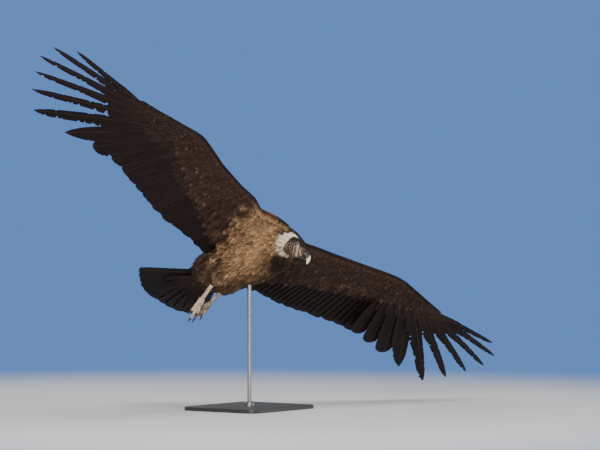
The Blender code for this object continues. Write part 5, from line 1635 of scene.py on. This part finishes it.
class MakeTail(bpy.types.Operator):
    """Twelve tail feathers in a fan, with coverts over and under their roots"""
    bl_idname = "condor.tail"
    bl_label = "Tail"

    def execute(self, context):
        c, sizes = colours(), context.scene.condor_feathers
        rng = np.random.default_rng(sizes.seed + 30)
        self.fan(c, sizes, rng)
        self.coverts(1, "over", c["tail"] * 1.3, c["back"], rng)
        self.coverts(-1, "under", c["tail"] * 1.3, c["breast"] * 0.30, rng)
        return {"FINISHED"}

    def fan(self, c, sizes, rng):
        """The large feathers, each half of the fan stepping down outwards from the middle."""
        material = plumage_material("tail_feather", 520.0, 0.9, 0.55, 0.16)
        share = np.linspace(-1, 1, TAIL_COUNT)
        off = np.abs(share)
        angle = np.radians(TAIL_FAN * share + TAIL_TURN)
        along = np.stack([-np.cos(angle), np.sin(angle), -0.012 * off], -1)
        roots = TAIL_AT + np.stack([-0.012 + 0.030 * off ** 2, 0.040 * share, -0.0132 * off], -1)
        lengths = (TAIL_LENGTH - 0.012 * off) * rng.normal(1, 0.006, TAIL_COUNT)
        up = np.tile((0.0, 0, 1), (TAIL_COUNT, 1))
        for label, side, widths in (("left", 1, TAIL_WIDTH), ("right", -1, TAIL_WIDTH[::-1])):
            half = share * side > 0
            grown = (roots[half], along[half], up[half], lengths[half])
            rings, across = flight_feathers(grown, widths, ["broad"] * 6, (50, 9), (4.0 * side, -0.01, 0.0),
                                            rng, (6, sizes.wear * 0.6, (0.004, 0.010)))
            tones = vane_colours(rings, across, (c["tail"], c["tail"] * 1.6, c["tail"]), rng)
            at = np.stack([0.5 + 0.4 * share[half], np.full(6, 0.5)], -1)
            split_pieces(f"tail_feathers_{label}", rings, across, tones, at, material, "tail_plumage",
                         replaced=("tail",))

    def coverts(self, side, label, rear, front, rng):
        """Small feathers over or under the roots of the large ones, in rows that step towards the body, whose
        colour goes from rear to front."""
        share = rng.uniform(-1, 1, TAIL_COVERTS)
        row = np.linspace(0, 1, TAIL_COVERTS)
        angle = np.radians(TAIL_FAN * 0.9 * share + TAIL_TURN)
        way = np.stack([-np.cos(angle), np.sin(angle), 0 * angle], -1)
        roots = TAIL_AT + way * (0.095 - 0.140 * row)[:, None] + share[:, None] * (0, 0.030, 0)
        roots[:, 2] += side * (0.012 + 0.012 * row) - 0.010 * np.abs(share)
        lengths = (0.090 - 0.030 * row) * rng.normal(1, 0.1, TAIL_COVERTS)
        s = np.linspace(0, 1, 7)
        centre = roots[:, None] + way[:, None] * (lengths[:, None] * s)[..., None]
        centre[..., 2] += side * (0.004 - 0.012 * row[:, None]) * s
        over = np.broadcast_to((0.0, 0, side), centre.shape)
        width = (0.013 - 0.004 * row)[:, None] * curve(VANE_SHAPES["covert"], s)[None, :, 0]
        fray = rng.uniform(0, 1, (TAIL_COVERTS, 1, 5)) * 0.2 * lengths[:, None, None]
        fray = fray * eased(s, 0.5, 1)[None, :, None]
        rings, across = blades(centre, over, width, width, np.full(width.shape, 0.0012), 0.0004, 0.10, 5,
                               hollow=False, fray=fray)
        base = colour_mix(rear, front, row ** 2)
        tones = laid_colours(rings, base, base * 1.3, base * 0.6, rng, 0.18)
        at = np.stack([0.5 + 0.45 * share, 0.1 + 0.8 * row], -1)
        split_pieces(f"tail_coverts_{label}", rings, across, tones, at, contour_material(), "tail_plumage")


class MakeRuff(bpy.types.Operator):
    """Collar of curling down round the root of the neck"""
    bl_idname = "condor.ruff"
    bl_label = "Ruff"

    def execute(self, context):
        c, sizes = colours(), context.scene.condor_feathers
        rng = np.random.default_rng(sizes.seed + 40)
        material = plumage_material("curled_white_down", 900.0, 0.35, 0.95, 0.1, (0.75, 0.70, 0.62, 1),
                                    0.0001, 0.4, Sheen_Weight=0.15, Sheen_Roughness=0.6)
        axis = unit(RUFF_AXIS)
        sideways = unit(np.cross((0, 0, 1.0), axis))
        a = np.arange(RUFF_COUNT) * GOLDEN_ANGLE
        level = rng.uniform(-1, 1, RUFF_COUNT)
        out = np.cos(a)[:, None] * sideways + np.sin(a)[:, None] * np.cross(axis, sideways)
        nape = np.maximum(np.sin(a), 0)
        dip = RUFF_DIP * (1 + np.cos(a)) / 2
        reach = (RUFF_RADIUS - 0.004 + 0.006 * (1 - level ** 2)) * (1 - RUFF_NAPE[0] * nape)
        thick = 0.010 * level * (1 - RUFF_NAPE[1] * nape)
        roots = RUFF_AT + out * reach[:, None] + axis * (thick - dip)[:, None]
        lean = np.radians(58 + 26 * level + 9 * rng.normal(size=RUFF_COUNT))
        way = out * np.sin(lean)[:, None] - axis * np.cos(lean)[:, None]
        lock = a * 17 + 1.2 * ripple(roots, 0.030, 62) + 0.6 * np.sign(level)
        curl = np.cross(axis, out) * (0.22 * rng.normal(size=RUFF_COUNT) + 0.55 * np.sin(lock))[:, None]
        lengths = rng.uniform(0.018, 0.030, RUFF_COUNT) * (1 - 0.15 * level) * (1 - RUFF_NAPE[2] * nape)
        lengths = (lengths * (1 - 0.22 * np.cos(lock)))[:, None]
        s = np.linspace(0, 1, 6)
        bend = curl + out * 0.05 - axis * 0.175
        centre = (roots[:, None] + way[:, None] * (lengths * s)[..., None]
                  + bend[:, None] * (0.6 * lengths * s ** 2)[..., None])
        over = np.broadcast_to((out + axis * 0.4)[:, None], centre.shape)
        width = rng.uniform(0.0012, 0.0024, (RUFF_COUNT, 1)) * np.array([0.7, 1.0, 1.05, 0.9, 0.6, 0.12])
        fray = rng.uniform(0, 1, (RUFF_COUNT, 1, 3)) * 0.25 * lengths[..., None] * s[None, :, None] ** 2
        rings, across = blades(centre, over, width, width, np.full(width.shape, 0.0010), 0.0003, 0.25, 3,
                               hollow=False, fray=fray)
        # Painted shade: the collar's lower side and the gaps between its locks are mixed towards the ruff's
        # shade colour
        low = eased(-np.sin(a) + 0.25 * ripple(roots, 0.02, 61), 0.15, 1.0)
        ruff_painted_shade = np.clip(0.50 * eased(np.cos(lock), 0.2, 1.0) + 0.70 * low, 0, 1)
        base = colour_mix(c["ruff"], c["ruff_shade"], ruff_painted_shade)
        tones = laid_colours(rings, base, base * 1.05, base * 0.70, rng, 0.08)
        at = np.stack([0.03 + 0.94 * (a / (2 * np.pi) % 1), 0.1 + 0.4 * (level + 1)], -1)
        split_pieces("ruff_feathers", rings, across, tones, at, material, "ruff_down", replaced=("ruff",),
                     sharp=70)
        return {"FINISHED"}


class MakeHeadParts(bpy.types.Operator):
    """Bill, eyes and claws"""
    bl_idname = "condor.horn"
    bl_label = "Bill, eyes and claws"

    def execute(self, context):
        c = colours()
        horn = skin_material("scratched_bill_horn", 240.0, 0.22, 0.0, 0.46, 0.25, 0.0004, Coat_Weight=0.05,
                             Coat_Roughness=0.3, Specular_IOR_Level=0.3)
        self.upper_bill(horn, c)
        self.lower_bill(horn, c)
        wet = skin_material("eye_gloss", 260.0, 0.3, 0.0, 0.08, 0.02, 0.0001, Coat_Weight=1.0,
                            Coat_Roughness=0.02)
        for name, side in (("left", 1), ("right", -1)):
            self.eye(name, side, wet, c)
        claw = skin_material("scratched_claw_horn", 220.0, 0.2, 0.0, 0.38, 0.2, 0.0003, Coat_Weight=0.2)
        for name in LEGS:
            lines, below = leg_lines(name)
            for kind, path, radii in lines[2:]:
                if kind == "toe":
                    continue
                fine = resampled(np.column_stack([path, radii]), 22)
                points, faces = closed_tube(tube_rings(fine[:, :3], fine[:, 3], 16, up=below, flat=1.15))
                tone = np.repeat(colour_mix(c["claw"] * 1.8, c["claw"], np.linspace(0, 1, 22)), 16, 0)
                node = f"claw_{name}_{kind[5:]}"
                new_piece(node + "_horn", in_room(points), faces, [claw], "claw_horn", (node,), tone)
        return {"FINISHED"}

    def bill_rings(self, stations):
        """Rings along the bill's curved line, in the head's frame."""
        x, z, half_w, half_h, turn = resampled(stations, 72).T
        turn = np.radians(turn)
        up = np.stack([np.sin(turn), 0 * turn, np.cos(turn)], -1)
        return oval_rings(np.stack([x, 0 * x, z], -1), (0, 1, 0), up, half_w, half_h, 48, 2.3)

    def bill_tone(self, own, c, bound):
        """Dark at the base and pale horn past the bound, which is frayed lengthwise."""
        share = np.repeat(np.linspace(0, 1, 72), 48)
        edge = 0.030 * ripple(own, 0.012, 71) + 0.018 * ripple(own * (0.3, 1.0, 0.3), 0.003, 72)
        return colour_mix(c["horn_base"], c["horn"], eased(share + edge, *bound))

    def upper_bill(self, material, c):
        """The hooked upper bill, with a nostril pressed into each side."""
        rings = self.bill_rings(BILL_STATIONS)
        x, y, z = np.moveaxis(rings, -1, 0)
        hole = np.hypot((x - 0.0540) / 0.0046, (z + 0.0085 - 0.25 * (x - 0.054)) / 0.0021)
        y *= 1 - 0.55 * (1 - eased(hole, 0.55, 1.15))
        own, faces = closed_tube(rings)
        # Painted shade: the nostril's hole is coloured near black
        tone = colour_mix(self.bill_tone(own, c, (0.50, 0.63)), (0.012, 0.008, 0.006),
                          1 - eased(hole.ravel(), 0.4, 1.0))
        new_piece("bill_upper_horn", in_room(from_head(own)), faces, [material], "bill_horn", ("bill_upper",),
                  tone)

    def lower_bill(self, material, c):
        """The lower bill, tucked a little inside the upper one."""
        rings = self.bill_rings(LOWER_BILL_STATIONS)
        own, faces = closed_tube(rings * (1, 0.92, 0.90) + (-0.001, 0, -0.0020))
        new_piece("bill_lower_horn", in_room(from_head(own)), faces, [material], "bill_horn", ("bill_lower",),
                  self.bill_tone(own, c, (0.70, 1.50)))

    def eye(self, name, side, material, c):
        """A ball with a pupil, an iris and a dark rim, by the angle from its outward pole."""
        polar = np.linspace(0.02, np.pi - 0.02, 40)[:, None]
        around = turns(48)
        ball = np.stack([np.sin(polar) * np.cos(around), np.cos(polar) + 0 * around,
                         np.sin(polar) * np.sin(around)], -1) * EYE_RADIUS
        points, faces = closed_tube(from_head(ball * (1, side, 1) + (0, side * EYE_SIDE, 0)))
        angle, around = np.repeat(polar, 48), np.tile(around, 40)
        rays = 1 + 0.25 * np.sin(around * 23) * np.sin(around * 9 + 1)
        tone = colour_mix((0.002, 0.002, 0.002), c["iris"] * rays[:, None], eased(angle, 0.40, 0.48))
        tone = colour_mix(tone, (0.008, 0.005, 0.004), eased(angle, 0.80, 0.95))
        new_piece(f"eye_{name}_ball", in_room(points), faces, [material], "eye", (f"eye_{name}",), tone)


class MakeStand(bpy.types.Operator):
    """Painted plate, steel rod and collar"""
    bl_idname = "condor.stand"
    bl_label = "Stand"

    def execute(self, context):
        paint = skin_material("stand_paint", 260.0, 0.10, 0.0, 0.42, 0.12, 0.0002, (0.030, 0.031, 0.034),
                              Coat_Weight=0.15, Coat_Roughness=0.3)
        steel = skin_material("stand_steel", 380.0, 0.10, 0.0, 0.38, 0.08, 0.0001, (0.42, 0.42, 0.43),
                              Metallic=1.0)
        new_piece("base_plate", *closed_tube(self.plate_rings()), [paint], "stand_base", ("stand_base",),
                  sharp=40)
        low = BASE_SIZE[2] + GAP
        rod = [(0, 0, low), (0, 0, BIRD_HEIGHT - 0.03)]
        rod = tube_rings(rod, (ROD_RADIUS, ROD_RADIUS), 48, up=(0, 1, 0))
        new_piece("rod", *closed_tube(rod), [steel], "stand_rod", ("stand_rod",), sharp=40)
        new_piece("collar", *self.collar(low), [steel], "stand_rod", ("stand_collar",), sharp=30)
        return {"FINISHED"}

    def plate_rings(self):
        """Rings of a rounded rectangle: straight up, then a quarter round in to the upper face."""
        half = np.array(BASE_SIZE[:2]) / 2 - BASE_CORNER
        a = turns(96) + 0.01
        way = np.stack([np.cos(a), np.sin(a)], -1)
        turn = np.linspace(0, np.pi / 2, 6)[1:]
        inset = np.concatenate([[0.0, 0.0], BASE_EDGE * (1 - np.cos(turn))])
        shoulder = BASE_SIZE[2] - BASE_EDGE
        high = np.concatenate([[0.0, shoulder], shoulder + BASE_EDGE * np.sin(turn)])
        flat = np.sign(way) * half + (BASE_CORNER - inset)[:, None, None] * way
        return np.concatenate([flat, np.broadcast_to(high[:, None, None], (*flat.shape[:2], 1))], -1)

    def collar(self, low):
        """Points and outward triangles of a ring turned about the rod from its section, a radius and a share
        of the height at each corner."""
        bore = ROD_RADIUS + GAP
        section = np.array(((bore, 0.0), (COLLAR_RADIUS, 0.0), (COLLAR_RADIUS, 0.70),
                            (COLLAR_RADIUS - 0.001, 0.78), (COLLAR_RADIUS * 0.82, 0.97),
                            (COLLAR_RADIUS * 0.78, 1.0), (bore, 1.0)))
        a = turns(64)[:, None]
        r, high = section.T
        points = np.stack([r * np.cos(a), r * np.sin(a), low + high * COLLAR_HEIGHT + 0 * a], -1)
        points = points.reshape(-1, 3)
        count = len(section)
        i, j = np.meshgrid(np.arange(64), np.arange(count), indexing="ij")
        p, q = i * count + j, i * count + (j + 1) % count
        r, s = (i + 1) % 64 * count + j, (i + 1) % 64 * count + (j + 1) % count
        faces = np.stack([np.stack([p, r, s], -1), np.stack([p, s, q], -1)]).reshape(-1, 3)
        return points, facing_out(points, faces)


# Studio: the floor, the camera of the photograph, and the lamps' name, place, size, power and tint
FLOOR_RADIUS = 4.0
CAMERA_YAW = 53.44
CAMERA_SHIFT = (0.0917, 0.025)
CAMERA_RISE = 0.08864
CAMERA_ASIDE = 0.01954
LAMPS = (
    ("key", (-4.6, -3.4, 2.2), 2.6, 300, (1.0, 0.96, 0.90)),
    ("top", (-0.5, -1.0, 5.5), 3.0, 120, (1.0, 1.0, 1.0)),
    ("fill", (3.5, -4.5, 1.4), 3.5, 70, (0.95, 0.97, 1.0)),
    ("rim", (2.5, 4.5, 3.5), 2.5, 60, (1.0, 1.0, 1.0)),
)


class MakeStudio(bpy.types.Operator):
    """Floor, lights and the camera of the photograph"""
    bl_idname = "condor.studio"
    bl_label = "Studio"

    def execute(self, context):
        studio = context.scene.condor_studio
        self.floor(studio)
        self.lamps()
        self.surround(studio)
        yaw = math.radians(CAMERA_YAW)
        back = np.array([-math.sin(yaw), -math.cos(yaw), 0])
        right = np.array([math.cos(yaw), -math.sin(yaw), 0])
        data = bpy.data.cameras.new("camera")
        data.lens, data.sensor_width = studio.lens, 36.0
        data.shift_x, data.shift_y = CAMERA_SHIFT
        camera = placed("camera", data)
        camera.location = back * studio.away - right * CAMERA_ASIDE + (0, 0, BIRD_HEIGHT + CAMERA_RISE)
        camera.rotation_euler = (math.pi / 2, 0, -yaw)
        context.scene.camera = camera
        return {"FINISHED"}

    def floor(self, studio):
        """A pale disc that fades away at its rim."""
        a = turns(96)
        mesh = bpy.data.meshes.new("floor")
        mesh.from_pydata([(FLOOR_RADIUS * math.cos(v), FLOOR_RADIUS * math.sin(v), -0.0005) for v in a], [],
                         [tuple(range(96))])
        made = placed("floor", mesh)
        material = bpy.data.materials.new("studio_floor")
        material.use_nodes = True
        w = Wiring(material.node_tree)
        length = w.node("VectorMath", operation="LENGTH")
        w.link(w.node("TexCoord").outputs["Object"], length.inputs[0])
        w.feed(material.node_tree.nodes["Principled BSDF"], Base_Color=(*studio.floor, 1), Roughness=0.9,
               Alpha=w.ramp(length.outputs["Value"], 1.5, FLOOR_RADIUS - 0.1, 1.0, 0.0))
        mesh.materials.append(material)

    def lamps(self):
        """Large soft lamps, turned to the bird."""
        for name, place, size, power, tint in LAMPS:
            data = bpy.data.lights.new(name, "AREA")
            data.shape, data.size, data.energy, data.color = "DISK", size, power, tint
            lamp = placed(name, data)
            lamp.location = place
            x, y, z = np.array([0, 0, BIRD_HEIGHT]) - place
            lamp.rotation_euler = (math.atan2(math.hypot(x, y), -z), 0, math.atan2(y, x) - math.pi / 2)

    def surround(self, studio):
        """An even glow all round, which the camera sees as the plain backdrop."""
        world = bpy.data.worlds.new("studio")
        bpy.context.scene.world = world
        world.use_nodes = True
        w = Wiring(world.node_tree)
        glow = w.feed(world.node_tree.nodes["Background"], Color=(0.90, 0.94, 1.0, 1), Strength=0.28)
        plain = w.feed(w.node("Background"), Color=(*studio.backdrop, 1), Strength=1.0)
        seen = w.node("LightPath").outputs["Is Camera Ray"]
        either = w.feed(w.node("MixShader"), i0=seen, i1=glow.outputs[0], i2=plain.outputs[0])
        w.feed(world.node_tree.nodes["World Output"], Surface=either.outputs[0])


OPERATORS = (MakeSkin, MakeFlightFeathers, MakeCoverts, MakeBodyCoat, MakeTail, MakeRuff, MakeHeadParts,
             MakeStand, MakeStudio)



class CondorPanel(bpy.types.Panel):
    """Lists the condor's pieces, colours and sizes"""
    bl_idname = "VIEW3D_PT_condor"
    bl_label = "Condor"
    bl_space_type = "VIEW_3D"
    bl_region_type = "UI"
    bl_category = "Condor"

    def draw(self, context):
        for group in ("condor_colours", "condor_feathers", "condor_studio"):
            box = self.layout.box()
            settings = getattr(context.scene, group)
            for key in settings.__annotations__:
                box.prop(settings, key)
        for operator in OPERATORS:
            self.layout.operator(operator.bl_idname)


GROUPS = {"condor_colours": CondorColours, "condor_feathers": CondorFeathers, "condor_studio": CondorStudio}


def register():
    """Adds the add-on's classes and settings."""
    for part in (*GROUPS.values(), *OPERATORS, CondorPanel):
        bpy.utils.register_class(part)
    for key, group in GROUPS.items():
        setattr(bpy.types.Scene, key, bpy.props.PointerProperty(type=group))


def unregister():
    """Takes them away again."""
    for key in GROUPS:
        delattr(bpy.types.Scene, key)
    for part in (CondorPanel, *reversed(OPERATORS), *reversed(GROUPS.values())):
        bpy.utils.unregister_class(part)


def main():
    """Builds the whole scene."""
    register()
    for operator in OPERATORS:
        group, name = operator.bl_idname.split(".")
        getattr(getattr(bpy.ops, group), name)()


if __name__ == "__main__":
    main()
